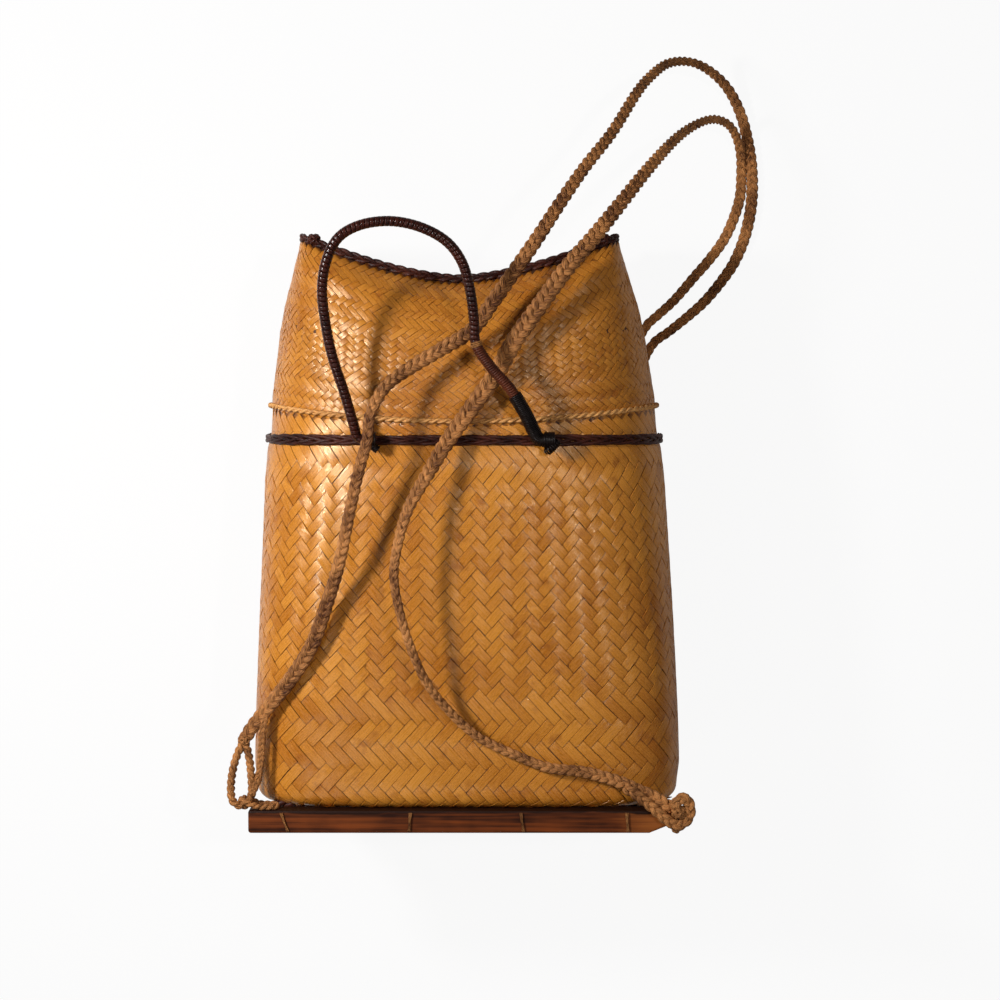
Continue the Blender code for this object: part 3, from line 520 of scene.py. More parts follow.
@dataclass(frozen=True)
class BasketForm:
    """Sections and heights of the body, the lid and its neck.

    The profiles of the body and the lid are those of half width, half depth and squareness.
    """

    foot_height: float = 0.0154
    seat_gap: float = 0.0003
    base_rounding: float = 0.0080
    band_height: float = 0.2605
    band_width: float = 0.0072
    lid_edge: float = 0.2818
    lid_edge_dip: float = 0.0104
    lid_top: float = 0.3942
    lid_top_dip: float = 0.0291
    lid_top_power: float = 1.6
    lean: float = -0.0050
    body: tuple[Profile, ...] = (
        Profile(0.1459, (0.0, 0.093, 0.23, 0.362, 0.494, 0.6, 0.757, 0.81, 0.896, 0.925, 0.95, 1.0),
                (0.978, 1.0, 0.9938, 0.985, 0.9746, 0.965, 0.9507, 0.9465, 0.9308, 0.915, 0.9095, 0.9047)),
        Profile(0.0800, (0.0, 0.25, 0.5, 0.757, 0.896, 0.925, 1.0),
                (0.95, 0.985, 1.0, 1.0, 0.986, 0.9785, 0.9785)),
        Profile(5.0, (0.0, 0.25, 0.5, 0.757, 1.0), (1.0, 0.84, 0.7, 0.6, 0.54)))
    lid: tuple[Profile, ...] = (
        Profile(0.1320, LID_PLACES, (1.0, 0.9985, 0.9705, 0.9485, 0.919, 0.878, 0.8515, 0.827, 0.819)),
        Profile(0.0783, LID_PLACES, (1.0, 1.0, 0.99, 0.965, 0.92, 0.85, 0.78, 0.67, 0.60)),
        Profile(8.0, (0.0, 0.5, 0.77, 0.955, 1.0), (0.3375, 0.35, 0.44, 0.75, 1.0)))

    @property
    def base(self) -> float:
        """Height of the base's underside."""
        return self.foot_height + self.seat_gap

    @property
    def body_top(self) -> float:
        """Height of the end of the body's outer wall."""
        return self.lid_edge - self.seat_gap

    def body_section(self, height: np.ndarray) -> Section:
        """Half width, half depth and squareness of the body at a height."""
        share = (height - self.base) / (self.body_top - self.base)
        return tuple(profile.at(share) for profile in self.body)

    def lid_section(self, share: np.ndarray) -> Section:
        """Half width, half depth and squareness of the lid at a share of its height."""
        return tuple(profile.at(share) for profile in self.lid)

    def edge_height(self, across: np.ndarray) -> np.ndarray:
        """Height of the lid's lower edge; across is 0 in the middle and 1 at the sides."""
        return self.lid_edge - self.lid_edge_dip * (1.0 - np.minimum(np.abs(across), 1.0) ** 2)

    def top_height(self, across: np.ndarray) -> np.ndarray:
        """Height of the lid's trough-shaped top."""
        return self.lid_top - self.lid_top_dip * (1.0 - np.minimum(np.abs(across), 1.0) ** self.lid_top_power)

    @staticmethod
    def reach(angle: np.ndarray, section: Section) -> tuple[np.ndarray, np.ndarray]:
        """Points (x, z from the middle) of a rounded-square section at polar angles."""
        across, deep = np.cos(angle), np.sin(angle)
        size = (np.abs(across) ** section[2] + np.abs(deep) ** section[2]) ** (-1.0 / section[2])
        return section[0] * across * size, section[1] * deep * size

    def outline(self, section: Section) -> tuple[np.ndarray, np.ndarray]:
        """Polar angles round a section, from the middle of its front on, and the lengths up to them."""
        angles = np.linspace(0.5 * math.pi, 0.5 * math.pi - TURN, 2881)
        x, z = self.reach(angles, section)
        return angles, np.concatenate([[0.0], np.cumsum(np.hypot(np.diff(x), np.diff(z)))])

    def angle_of(self, share: np.ndarray, section: Section) -> np.ndarray:
        """Polar angle at a share of the way round a section, measured along its outline.

        Args:
            share: Shares round, which wrap at 1.
            section: The section that is measured.

        Returns:
            Angles, which start at the middle of the front and run to the right side's end.
        """
        angles, lengths = self.outline(section)
        return np.interp(np.mod(share, 1.0) * lengths[-1], lengths, angles)

    def columns(self, section: Section, stitch: float) -> int:
        """Plaiting columns round a section, a multiple of four."""
        return 4 * round(float(self.outline(section)[1][-1]) / stitch)

    @staticmethod
    def world(x: np.ndarray, height: np.ndarray, z: np.ndarray) -> np.ndarray:
        """Stack x, height and z from the basket's middle into world points."""
        return np.stack([x, height - ORIGIN_HEIGHT, MID_DEPTH + z], axis=-1)

    def leaning(self, x: np.ndarray, height: np.ndarray, z: np.ndarray) -> np.ndarray:
        """World points with the basket's sideways lean."""
        return self.world(x + self.lean * (height / self.lid_top) ** 2, height, z)


# Shapes shared by the sub-assemblies


def add_object(name: str, data: Optional[bpy.types.ID]) -> Piece:
    """Add an object with its data to the scene."""
    item = bpy.data.objects.new(name, data)
    bpy.context.scene.collection.objects.link(item)
    return item


class PatchMaker:
    """Makes many small curved patches or tubes as one mesh from copies of one grid."""

    @staticmethod
    def grid(name: str, count: int, along: int, across: int,
             sharp: float = NEVER) -> tuple[bpy.types.Mesh, np.ndarray, np.ndarray]:
        """Copies of one flat grid in one mesh.

        Args:
            name: The mesh's name.
            count: How many copies.
            along: Faces along each copy.
            across: Faces across each copy.
            sharp: Distance from the middle line at which lengthwise edges are kept sharp.

        Returns:
            The mesh, and each vertex's share along and across, as rows of one copy each.
        """
        sheet = bmesh.new()
        sheet.loops.layers.uv.new(UV_NAME)
        bmesh.ops.create_grid(sheet, x_segments=along, y_segments=across, size=1.0, calc_uvs=True)
        for edge in sheet.edges:
            edge.smooth = not all(abs(abs(vertex.co.y) - sharp) < 0.01 for vertex in edge.verts)
        mesh = bpy.data.meshes.new(name)
        sheet.to_mesh(mesh)
        sheet.free()
        carrier = add_object(name + "_carrier", mesh)
        repeat = carrier.modifiers.new("repeat", "ARRAY")
        repeat.count = count
        repeat.use_relative_offset = False
        repeat.use_constant_offset = True
        repeat.constant_offset_displace = (0.0, 0.0, 0.0)
        made = bpy.data.meshes.new_from_object(carrier.evaluated_get(bpy.context.evaluated_depsgraph_get()))
        made.name = name
        bpy.data.objects.remove(carrier, do_unlink=True)
        bpy.data.meshes.remove(mesh)
        places = np.zeros(len(made.vertices) * 3, np.float32)
        made.vertices.foreach_get("co", places)
        places = places.reshape(count, -1, 3)
        return made, (places[..., 0] + 1.0) / 2.0, (places[..., 1] + 1.0) / 2.0

    @staticmethod
    def shape(mesh: bpy.types.Mesh, points: np.ndarray, along: np.ndarray, across: np.ndarray,
              tints: np.ndarray, rims: Optional[np.ndarray] = None) -> None:
        """Move the mesh's vertices and fill its UV map and attributes.

        Args:
            mesh: The mesh of copies.
            points: World points, one row per copy.
            along: First UV value of each vertex, in metres.
            across: Second UV value of each vertex.
            tints: A tint per copy.
            rims: How near each vertex is to its patch's rim, from 0 to 1.
        """
        mesh.vertices.foreach_set("co", points.astype(np.float32).ravel())
        corners = np.zeros(len(mesh.loops), np.int32)
        mesh.loops.foreach_get("vertex_index", corners)
        uv = np.stack([along.ravel()[corners], across.ravel()[corners]], axis=-1)
        mesh.uv_layers[0].name = UV_NAME
        mesh.uv_layers[0].data.foreach_set("uv", uv.astype(np.float32).ravel())
        attributes = {"tint": np.repeat(tints, points.shape[1])}
        if rims is not None:
            attributes["rim"] = rims.ravel()
        for label, values in attributes.items():
            mesh.attributes.new(label, "FLOAT", "POINT").data.foreach_set("value", values.astype(np.float32))
        mesh.update()

    @staticmethod
    def piece(name: str, mesh: bpy.types.Mesh, material: Material, body: Body, merge: bool = False) -> Piece:
        """Turn a mesh into a smooth piece that rides on a body.

        Args:
            name: The piece's name.
            mesh: Its mesh.
            material: Its material.
            body: What it rides on.
            merge: Whether seams and poles are merged and faces turned outwards.

        Returns:
            The new object.
        """
        if merge:
            work = bmesh.new()
            work.from_mesh(mesh)
            bmesh.ops.remove_doubles(work, verts=work.verts, dist=1e-6)
            bmesh.ops.dissolve_degenerate(work, edges=work.edges, dist=1e-7)
            bmesh.ops.recalc_face_normals(work, faces=work.faces)
            work.to_mesh(mesh)
            work.free()
        mesh.materials.clear()
        mesh.materials.append(material)
        mesh.shade_smooth()
        item = add_object(name, mesh)
        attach(item, body.value)
        return item


def put_in_slot(piece: Piece, slot: str, *nodes: str) -> Piece:
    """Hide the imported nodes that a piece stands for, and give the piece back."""
    if nodes:
        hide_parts(*nodes)
    return piece


Zones = dict[int, Lean]
PLAIN_TWILL: Zones = {0: Lean.ZIGZAG}
LONGEST_FLOAT = 4
FACES_ALONG, FACES_ACROSS = 8, 4
TINT_COUNT = 4096
STRIP_SPREAD = 0.013
NUDGE = 0.02
RIM_SHARES = (0.0, 0.0, 0.0, 0.84, 1.0)


def banded(below: Sequence[int], zigzag: int, above: Sequence[int]) -> Zones:
    """Zones that rise and fall by turns on both sides of a zigzag one, given by their first rows."""
    zones = {row: (Lean.RISING, Lean.FALLING)[index % 2] for rows in (below, above)
             for index, row in enumerate(rows)}
    return {**zones, zigzag: Lean.ZIGZAG}


@dataclass
class Weave:
    """A twill of rising and falling strips over a surface with cells (around, up)."""

    name: str
    around: int
    rows: int
    zones: Zones
    surface: SurfaceMap
    body: Body
    material: Material
    cell: tuple[float, float]
    wraps: bool = True
    keep: Optional[SurfaceMap] = None
    cover: float = 0.972
    overlap: float = 0.42
    rest: float = 0.0
    lift: float = 0.00042
    sink: float = 0.00022
    crown: float = 0.00005
    edge: float = 0.95
    edge_drop: float = 0.00040
    tilt: float = 0.00005
    slip: float = 0.016
    unevenness: float = 0.00003
    strip_tint: float = 0.62
    seed: int = 7

    def rises(self, across: int, row: int) -> bool:
        """Whether the rising strip lies on top in a cell, by the zone that the row is in."""
        lean = self.zones[max(first for first in self.zones if first <= row)]
        return across % 4 < 2 if lean is Lean.ZIGZAG else lean is Lean.RISING

    def floats(self) -> np.ndarray:
        """Every stretch of a strip that lies on top.

        Returns:
            Rows of middle column, middle row, cells long, direction and strip number.
        """
        found = []
        margin = 0 if self.wraps else self.rows
        for direction in (1, -1):
            for strip in range(-margin, self.around // 2 + margin):
                run: list[int] = []
                for row in range(self.rows + 1):
                    column = 2 * strip + direction * row
                    on_top = row < self.rows and self.rises(column, row) == (direction > 0)
                    if on_top:
                        run.append(row)
                    if run and (not on_top or len(run) == LONGEST_FLOAT):
                        middle = (run[0] + run[-1]) / 2.0
                        found.append((2 * strip + direction * middle, middle, len(run), direction, strip))
                        run = []
        table = np.array(found, float)
        return table if self.keep is None else table[self.keep(table[:, 0], table[:, 1])]

    def build(self) -> Piece:
        """Make every float as a small arched plate whose ends dive under its neighbours.

        Returns:
            The finished piece.
        """
        table = self.floats()
        random = np.random.default_rng(self.seed)
        count = len(table)
        mesh, share, side = PatchMaker.grid(self.name, count, FACES_ALONG, FACES_ACROSS, sharp=0.5)
        column, row, cells, direction, strip = (table[:, index:index + 1] for index in range(5))
        half = cells / 2.0
        knots = np.concatenate([0.0 * half, 0.5 * half - 0.17, half - 0.3, half - 0.02, half + self.overlap],
                               axis=1)
        place = np.rint((share - 0.5) * FACES_ALONG)
        far = np.abs(place).astype(int)
        along = np.sign(place) * np.take_along_axis(knots, far, axis=1)
        wide = np.interp(side, [0.0, 0.25, 0.5, 0.75, 1.0], [-1.0, -self.edge, 0.0, self.edge, 1.0])
        shift = 0.5 * wide * self.cover
        slip = random.normal(0.0, self.slip, (count, 1))
        up = row + along - direction * (shift + slip)
        turn = column + direction * along + shift + slip
        points = self.surface(turn, up)
        run = self.surface(turn + NUDGE, up) - self.surface(turn - NUDGE, up)
        rise = self.surface(turn, up + NUDGE) - self.surface(turn, up - NUDGE)
        inside = np.clip(np.abs(along) - half + 0.5, 0.0, 1.0)
        dive = inside * inside * (3.0 - 2.0 * inside)
        at_edge = np.abs(wide) > 0.99
        height = self.rest + self.lift * (1.0 - dive) - self.sink * dive - self.crown * wide ** 2
        height -= np.where(at_edge, self.edge_drop, 0.0)
        height += random.normal(0.0, self.unevenness, (count, 1))
        height += self.tilt * (wide * random.normal(0.0, 1.0, (count, 1))
                               + along / half * random.normal(0.0, 0.8, (count, 1)))
        points = points + unit(np.cross(run, rise)) * height[..., None]
        strip_tints = random.random(TINT_COUNT)
        index = (strip[:, 0].astype(int) * 2 + (direction[:, 0] > 0)) % TINT_COUNT
        tints = self.strip_tint * strip_tints[index] + (1.0 - self.strip_tint) * random.random(count)
        rims = np.maximum(np.where(at_edge, 1.0, 0.0), np.choose(far, RIM_SHARES))
        length = along * self.cell[0] + random.random((count, 1)) * 3.0
        across = wide * self.cell[1] / 2.0 + strip * STRIP_SPREAD
        PatchMaker.shape(mesh, points, length, across, tints, rims)
        return PatchMaker.piece(self.name, mesh, self.material, self.body)


def flat_weave(name: str, reach: tuple[float, float], pitch: tuple[float, float], square: float,
               facing: float, place: SurfaceMap, limit: float, margin: tuple[float, float] = (0.0, 0.0),
               **values: object) -> Piece:
    """A plain twill across the basket, cut to a rounded-square outline.

    Args:
        name: The piece's name.
        reach: Half width and half depth that the cells cover.
        pitch: A cell's width and depth.
        square: The outline's squareness.
        facing: 1 when it is seen from above the lid, -1 from below the foot.
        place: World points at x and z from the middle.
        limit: Where the outline cuts the twill off, as a share of the reach.
        margin: How much less than the reach the outline is.
        values: The weave's other values.

    Returns:
        The finished piece.
    """
    def local(turn: np.ndarray, row: np.ndarray) -> tuple[np.ndarray, np.ndarray]:
        """Places from the middle at cells."""
        return turn * pitch[0] - reach[0], facing * (reach[1] - row * pitch[1])

    def keep(turn: np.ndarray, row: np.ndarray) -> np.ndarray:
        """Whether a float's middle lies within the outline."""
        x, z = (np.abs(part) / (size - less) for part, size, less in zip(local(turn, row), reach, margin))
        return x ** square + z ** square < limit

    return Weave(name, int(2.0 * reach[0] / pitch[0]), int(2.0 * reach[1] / pitch[1]) + 1, PLAIN_TWILL,
                 lambda turn, row: place(*local(turn, row)), wraps=False, keep=keep, **values).build()


@dataclass(frozen=True)
class Tube:
    """A tube of oval rings, one round each point of its spine."""

    spine: np.ndarray
    wide: np.ndarray
    lift: np.ndarray
    width: np.ndarray | float
    depth: np.ndarray | float

    def points(self, share: np.ndarray, angle: np.ndarray) -> np.ndarray:
        """Points at shares along the tube and round it."""
        ring = np.rint(share * (len(self.spine) - 1)).astype(int)
        turn = TURN * angle[:, None]
        shape = (len(self.spine), 1)
        width, depth = (np.broadcast_to(size, shape)[ring] for size in (self.width, self.depth))
        return (self.spine[ring] + self.wide[ring] * np.cos(turn) * width
                + self.lift[ring] * np.sin(turn) * depth)


def tube_piece(name: str, tubes: Sequence[Tube], sides: int, length: float, material: Material, body: Body,
               tints: Sequence[float] = (0.5,), shift: np.ndarray | float = 0.0) -> Piece:
    """Make tubes into one piece.

    Args:
        name: The piece's name.
        tubes: Tubes with the same number of rings.
        sides: Faces round each tube.
        length: Length that the UV map gives each tube.
        material: The piece's material.
        body: What it rides on.
        tints: A tint for each tube.
        shift: What is added to the UV map's lengths.

    Returns:
        The finished piece.
    """
    mesh, share, angle = PatchMaker.grid(name, len(tubes), len(tubes[0].spine) - 1, sides)
    points = np.stack([tube.points(*places) for tube, *places in zip(tubes, share, angle)])
    PatchMaker.shape(mesh, points, share * length + shift, angle, np.array(tints))
    return PatchMaker.piece(name, mesh, material, body, merge=True)


@dataclass(frozen=True)
class Plait:
    """Sizes of a plait or a twist of strands."""

    half_width: float
    half_depth: float
    strand_width: float
    strand_depth: float
    turn_length: float
    strands: int = 3
    points_per_turn: int = 14
    sides: int = 10
    twisted: bool = False

    @classmethod
    def cord(cls, *lengths: float, points_per_turn: int = 12, sides: int = 8) -> "Plait":
        """A twist of two strands, from the five lengths in their order."""
        return cls(*lengths, strands=2, points_per_turn=points_per_turn, sides=sides, twisted=True)

    def scaled(self, size: float) -> "Plait":
        """The same plait at another size."""
        return replace(self, half_width=self.half_width * size, half_depth=self.half_depth * size,
                       strand_width=self.strand_width * size, strand_depth=self.strand_depth * size,
                       turn_length=self.turn_length * size)


@dataclass
class Braid:
    """Strands plaited or twisted along a path, as one mesh of closed tubes."""

    name: str
    path: np.ndarray
    outward: np.ndarray
    plait: Plait
    material: Material
    body: Body
    closed: bool = True
    widths: Sequence[float] = (1.0, 1.0)
    seed: int = 3

    def build(self) -> Piece:
        """Make the strands.

        Returns:
            The finished piece.
        """
        plait, line, outs = self.plait, self.path, np.broadcast_to(self.outward, self.path.shape)
        if self.closed:
            line, outs = (np.concatenate([part, part[:1]]) for part in (line, outs))
        reach = lengths_along(line)
        turns = reach[-1] / plait.turn_length
        if self.closed:
            turns = max(1, round(turns))
        steps = max(12, int(turns * plait.points_per_turn))
        places = np.linspace(0.0, reach[-1], steps + 1)
        middle, out = (sample(part, reach, places) for part in (line, outs))
        shares, width_shares = (np.linspace(0.0, 1.0, len(part)) for part in (line, self.widths))
        grown = np.interp(shares, width_shares, self.widths)
        grow = np.interp(places, reach, grown)[:, None]
        ahead = heading(middle, self.closed)
        out = square_to(out, ahead)
        side = np.cross(ahead, out)
        size = thin = 0.6 + 0.4 * grow
        if not self.closed:
            far = np.minimum(places, places[-1] - places)[:, None] / (0.9 * plait.strand_width)
            size = np.sqrt(np.clip(1.0 - (1.0 - np.clip(far, 0.0, 1.0)) ** 2, 0.0, 1.0)) * thin
        tubes = []
        for strand in range(plait.strands):
            phase = TURN * (turns * np.linspace(0.0, 1.0, steps + 1)[:, None] + strand / plait.strands)
            if plait.twisted:
                across, up = np.cos(phase), np.sin(phase)
            else:
                across, up = grow * np.sin(phase), thin * np.sin(2.0 * phase)
            spine = middle + side * plait.half_width * across + out * plait.half_depth * up
            run = heading(spine, self.closed)
            lift = square_to(out, run)
            tubes.append(Tube(spine, np.cross(run, lift), lift, plait.strand_width * size,
                              plait.strand_depth * size))
        random = np.random.default_rng(self.seed)
        shift = random.random((plait.strands, 1)) * 5.0
        return tube_piece(self.name, tubes, plait.sides, reach[-1], self.material, self.body,
                          random.random(plait.strands), shift)


KNOT_CORE = 0.76
KNOT_CORD = Plait.cord(0.076, 0.065, 0.217, 0.196, 1.3, points_per_turn=7, sides=6)


def ball_knot(name: str, centre: np.ndarray, radius: float, material: Material, body: Body) -> Piece:
    """A knot: a cord laid over and over round a small ball, with sizes that follow its radius.

    Args:
        name: The piece's name.
        centre: The ball's middle.
        radius: The knot's radius.
        material: Its material.
        body: What it rides on.

    Returns:
        The finished piece.
    """
    share = np.linspace(0.0, 1.0, 160, endpoint=False)
    around = TURN * 4.0 * share
    tilt = 0.95 * np.sin(TURN * 5.0 * share)
    ball = np.stack([np.cos(tilt) * np.cos(around), 0.85 * np.sin(tilt),
                     0.85 * np.cos(tilt) * np.sin(around)], axis=-1)
    ball *= (1.0 + 0.10 * np.sin(TURN * 10.0 * share))[:, None]
    line = centre + ball * radius * KNOT_CORE
    return Braid(name, line, ball, KNOT_CORD.scaled(radius), material, body).build()


# Sub-assemblies

BODY_CELL = (0.0069, 0.0068)
LID_CELL = (0.0040, 0.0038)
BODY_ZONES = banded((0, 2, 4, 7, 10, 13), 16, (45, 47))
LID_ZONES = banded((0, 3, 5, 7, 10), 12, (26, 28, 31, 33, 36, 38, 41))
WAIST_PLAIT = Plait(0.0026, 0.00055, 0.00115, 0.00080, 0.064, strands=5, points_per_turn=26, sides=8)
LID_TOP_PLAIT = Plait(0.0017, 0.0008, 0.0014, 0.0013, 0.024, points_per_turn=18, sides=8)
STRAP_PLAIT = Plait(0.0026, 0.00095, 0.00225, 0.00150, 0.0170, points_per_turn=16)
LIMB_PLAIT = Plait(0.0022, 0.0012, 0.0020, 0.0017, 0.0185, sides=8)
LID_EDGE_CORD = Plait.cord(0.00090, 0.00070, 0.00105, 0.00100, 0.0115, sides=6)
WRAP_CORD = Plait.cord(0.0012, 0.0010, 0.0015, 0.0014, 0.010)
# Sizes of the dark cord that paints the shade under the base.
SHADE_CORD = Plait.cord(0.0014, 0.0010, 0.0021, 0.0018, 0.016)


@dataclass
class BasketBody:
    """The plaited body with its base, waist band and neck."""

    form: BasketForm
    strips: Material
    band: Material
    rows: int = 54
    stitch: float = 0.0177
    counted_height: float = 0.15
    band_points: int = 360
    band_sink: float = 0.0003
    band_widths: tuple[float, ...] = (0.95, 0.8, 1.05, 0.9, 1.1, 0.85, 1.0, 0.8, 0.95, 1.1, 0.75, 0.7, 0.9,
                                      0.85, 0.7, 0.8, 1.15, 0.95, 0.8, 1.1, 0.9, 1.0, 0.85, 0.95)

    def surface(self, turn: np.ndarray, row: np.ndarray) -> np.ndarray:
        """World points of the body's outer wall.

        Args:
            turn: Columns round the body.
            row: Rows up from the base's edge.

        Returns:
            World points.
        """
        form = self.form
        rounding = form.base_rounding
        bend = rounding * math.pi / 2.0
        reach = row / self.rows * (bend + form.body_top - form.base - rounding)
        angle = np.clip(reach / rounding, 0.0, math.pi / 2.0)
        height = form.base + rounding + np.where(reach < bend, -rounding * np.cos(angle), reach - bend)
        inset = rounding * (1.0 - np.sin(angle)) - np.minimum(reach, 0.0)
        width, depth, square = form.body_section(np.clip(height, form.base, form.body_top))
        counted = form.body_section(self.counted_height)
        around = form.angle_of(turn / self.around, counted)
        x, z = form.reach(around, (width - inset, depth - inset, square))
        band_top = form.band_height + form.band_width / 2.0
        collar = np.maximum(0.0, (height - band_top) / (form.body_top - band_top))
        return form.leaning(x, height - collar * (form.lid_edge - form.edge_height(x / width)), z)

    @property
    def around(self) -> int:
        """Plaiting columns round the body."""
        return self.form.columns(self.form.body_section(self.counted_height), self.stitch)

    def base_weave(self) -> Piece:
        """The plaiting of the flat base, whose underside faces out."""
        form = self.form
        width, depth, square = form.body_section(form.base)
        return flat_weave("base_weave", (width - form.base_rounding, depth - form.base_rounding),
                          (0.0044, 0.0052), square, -1.0,
                          lambda x, z: form.world(x, np.full(x.shape, form.base), z), 0.99, body=Body.BASKET,
                          material=self.strips, cell=BODY_CELL, lift=0.0002, sink=0.0004)

    def waist_band(self) -> Piece:
        """The dark braid round the waist."""
        form = self.form
        width, depth, square = form.body_section(form.band_height)
        out = (MID_DEPTH - depth + self.band_sink) / 2.0
        x, z = form.reach(np.linspace(0.0, TURN, self.band_points, endpoint=False),
                          (width + out, depth + out, square))
        path = form.leaning(x, np.full(x.shape, form.band_height), z)
        piece = Braid("waist_band_braid", path, outline_outward(path), WAIST_PLAIT, self.band, Body.BASKET,
                      widths=self.band_widths).build()
        return put_in_slot(piece, "dark_braid", "waist_band")

    def build(self) -> list[Piece]:
        """Make the body's pieces."""
        wall = Weave("body_weave", self.around, self.rows, BODY_ZONES, self.surface, Body.BASKET, self.strips,
                     BODY_CELL).build()
        woven = [put_in_slot(piece, "body_strips") for piece in (wall, self.base_weave())]
        return woven + [self.waist_band()]


@dataclass
class Lid:
    """The plaited lid with its cord, top braid and corner knots."""

    form: BasketForm
    strips: Material
    braid: Material
    cord: Material
    rows: int = 43
    stitch: float = 0.0115
    counted_share: float = 0.4
    knot_radius: float = 0.0046
    cord_radius: float = 0.0016
    braid_radius: float = 0.0026
    line_points: int = 480

    @property
    def around(self) -> int:
        """Plaiting columns round the lid."""
        return self.form.columns(self.form.lid_section(self.counted_share), self.stitch)

    def surface(self, turn: np.ndarray, row: np.ndarray) -> np.ndarray:
        """World points of the lid's wall at plaiting columns and rows."""
        form = self.form
        share = row / self.rows
        section = form.lid_section(np.clip(share, 0.0, 1.0))
        x, z = form.reach(form.angle_of(turn / self.around, form.lid_section(self.counted_share)), section)
        edge = form.edge_height(x / section[0])
        return form.leaning(x, edge + (form.top_height(x / section[0]) - edge) * share, z)

    def weave(self) -> Piece:
        """The lid's outer plaiting."""
        return Weave("lid_weave", self.around, self.rows, LID_ZONES, self.surface, Body.LID, self.strips,
                     LID_CELL, rest=0.0002, lift=0.00036, sink=0.0002, crown=0.00010, tilt=0.00009,
                     seed=11).build()

    def top_weave(self) -> Piece:
        """The plaiting of the trough-shaped top."""
        form = self.form
        width, depth, square = form.lid_section(1.0)
        return flat_weave("lid_top_weave", (width, depth), (0.0029, 0.0026), square, 1.0,
                          lambda x, z: form.leaning(x, form.top_height(x / width), z), 0.97, (0.0024, 0.0010),
                          body=Body.LID, material=self.strips, cell=LID_CELL, rest=0.00105, lift=0.00034,
                          sink=0.0002, crown=0.00004, seed=12)

    def edge_cord(self) -> Piece:
        """The thin pale cord round the lid's lower edge."""
        form = self.form
        out = form.seat_gap + self.cord_radius
        width, depth, square = form.lid_section(0.0)
        x, z = form.reach(np.linspace(0.0, TURN, self.line_points, endpoint=False),
                          (width + out, depth + out, square))
        path = form.leaning(x, form.edge_height(x / (width + out)) + self.cord_radius, z)
        cord = Braid("lid_edge_cord", path, outline_outward(path), LID_EDGE_CORD, self.cord, Body.LID)
        return put_in_slot(cord.build(), "rim_cane", "lid_rim_cord")

    def top_edge(self, radius: float, count: int) -> np.ndarray:
        """Middles of round pieces of a radius that rest all round the lid's top edge."""
        form = self.form
        section = form.lid_section(1.0)
        x, z = form.reach(np.linspace(0.0, TURN, count, endpoint=False), section)
        share = np.minimum(np.abs(x) / section[0], 1.0)
        power = form.lid_top_power
        slope = np.sign(x) * form.lid_top_dip * power * share ** (power - 1.0) / section[0]
        lift = (form.seat_gap + radius) / np.hypot(slope, 1.0)
        height = form.top_height(share) + lift
        return form.leaning(x, height, z) - (slope * lift)[:, None] * RIGHT

    def build(self) -> list[Piece]:
        """Make the lid's pieces."""
        made = [put_in_slot(piece, "lid_strips") for piece in (self.weave(), self.top_weave())]
        path = self.top_edge(self.braid_radius, self.line_points)
        top = Braid("lid_top_braid", path, outline_outward(path), LID_TOP_PLAIT, self.braid, Body.LID)
        made += [self.edge_cord(), put_in_slot(top.build(), "dark_braid", *(
            "lid_top_braid_" + side for side in ("front", "back", "left", "right")))]
        corners = self.top_edge(self.knot_radius * 0.925, 8)
        for label, centre in zip(("right_front", "left_front", "left_back", "right_back"), corners[1::2]):
            knot = ball_knot("lid_knot_" + label, centre, self.knot_radius, self.braid, Body.LID)
            made.append(put_in_slot(knot, "dark_braid", "lid_knob_" + label))
        return made


HANDLE_ROUTE = ((-582, 2605, 1697), (-650, 2607, 1697), (-706, 2630, 1702), (-728, 2710, 1728),
                (-778, 2900, 1785), (-855, 3156, 1850), (-894, 3378, 1900), (-908, 3567, 1940),
                (-879, 3742, 1970), (-800, 3890, 2000), (-659, 3971, 2010), (-470, 3996, 2010),
                (-281, 3960, 2000), (-117, 3873, 1980), (-17, 3743, 1955), (34, 3568, 1930),
                (59, 3379, 1905), (72, 3225, 1890), (166, 3079, 1880), (290, 2940, 1855), (390, 2778, 1792),
                (440, 2675, 1732), (475, 2615, 1701), (520, 2605, 1697), (585, 2605, 1697))
LEFT_TOE_ROUTE = ((-650, 2600, 1700), (-618, 2575, 1700), (-590, 2555, 1695), (-572, 2540, 1690))
RIGHT_TOE_ROUTE = ((600, 2596, 1704), (582, 2575, 1714), (556, 2550, 1715), (529, 2528, 1700))


@dataclass(frozen=True)
class Winding:
    """A cord wound closely round a line."""

    name: str
    reach: float
    wire: float
    pitch: float
    slot: str
    start: float = 0.0
    end: float = 1.0
    nodes: tuple[str, ...] = ()
    rings_per_turn: int = 10
    sides: int = 6
    spread: float = 0.49

    def build(self, line: np.ndarray, material: Material, body: Body) -> Piece:
        """Wind the cord.

        Args:
            line: Close points of the line, of which the stretch from start to end is wound.
            material: The cord's material.
            body: What it rides on.

        Returns:
            The finished piece.
        """
        last = len(line) - 1
        line = line[int(self.start * last):int(self.end * last) + 1]
        turns = lengths_along(line)[-1] / self.pitch
        side, out = cross_axes(line)
        count = int(turns * self.rings_per_turn) + 1
        index = np.linspace(0, len(line) - 1, count)
        whole = np.rint(index).astype(int)
        phase = TURN * turns * np.linspace(0.0, 1.0, count)[:, None]
        radial = side[whole] * np.cos(phase) + out[whole] * np.sin(phase)
        path = sample(line, np.arange(len(line)), index) + radial * self.reach
        wide = unit(np.cross(heading(path), radial))
        ring = np.arange(count)[:, None]
        taper = np.clip(np.minimum(ring, count - 1 - ring) / 2.0, 0.0, 1.0)
        tube = Tube(path, wide, radial, max(self.wire, self.pitch * self.spread) * taper, self.wire * taper)
        piece = tube_piece(self.name, [tube], self.sides, lengths_along(path)[-1], material, body)
        return put_in_slot(piece, self.slot, *self.nodes)


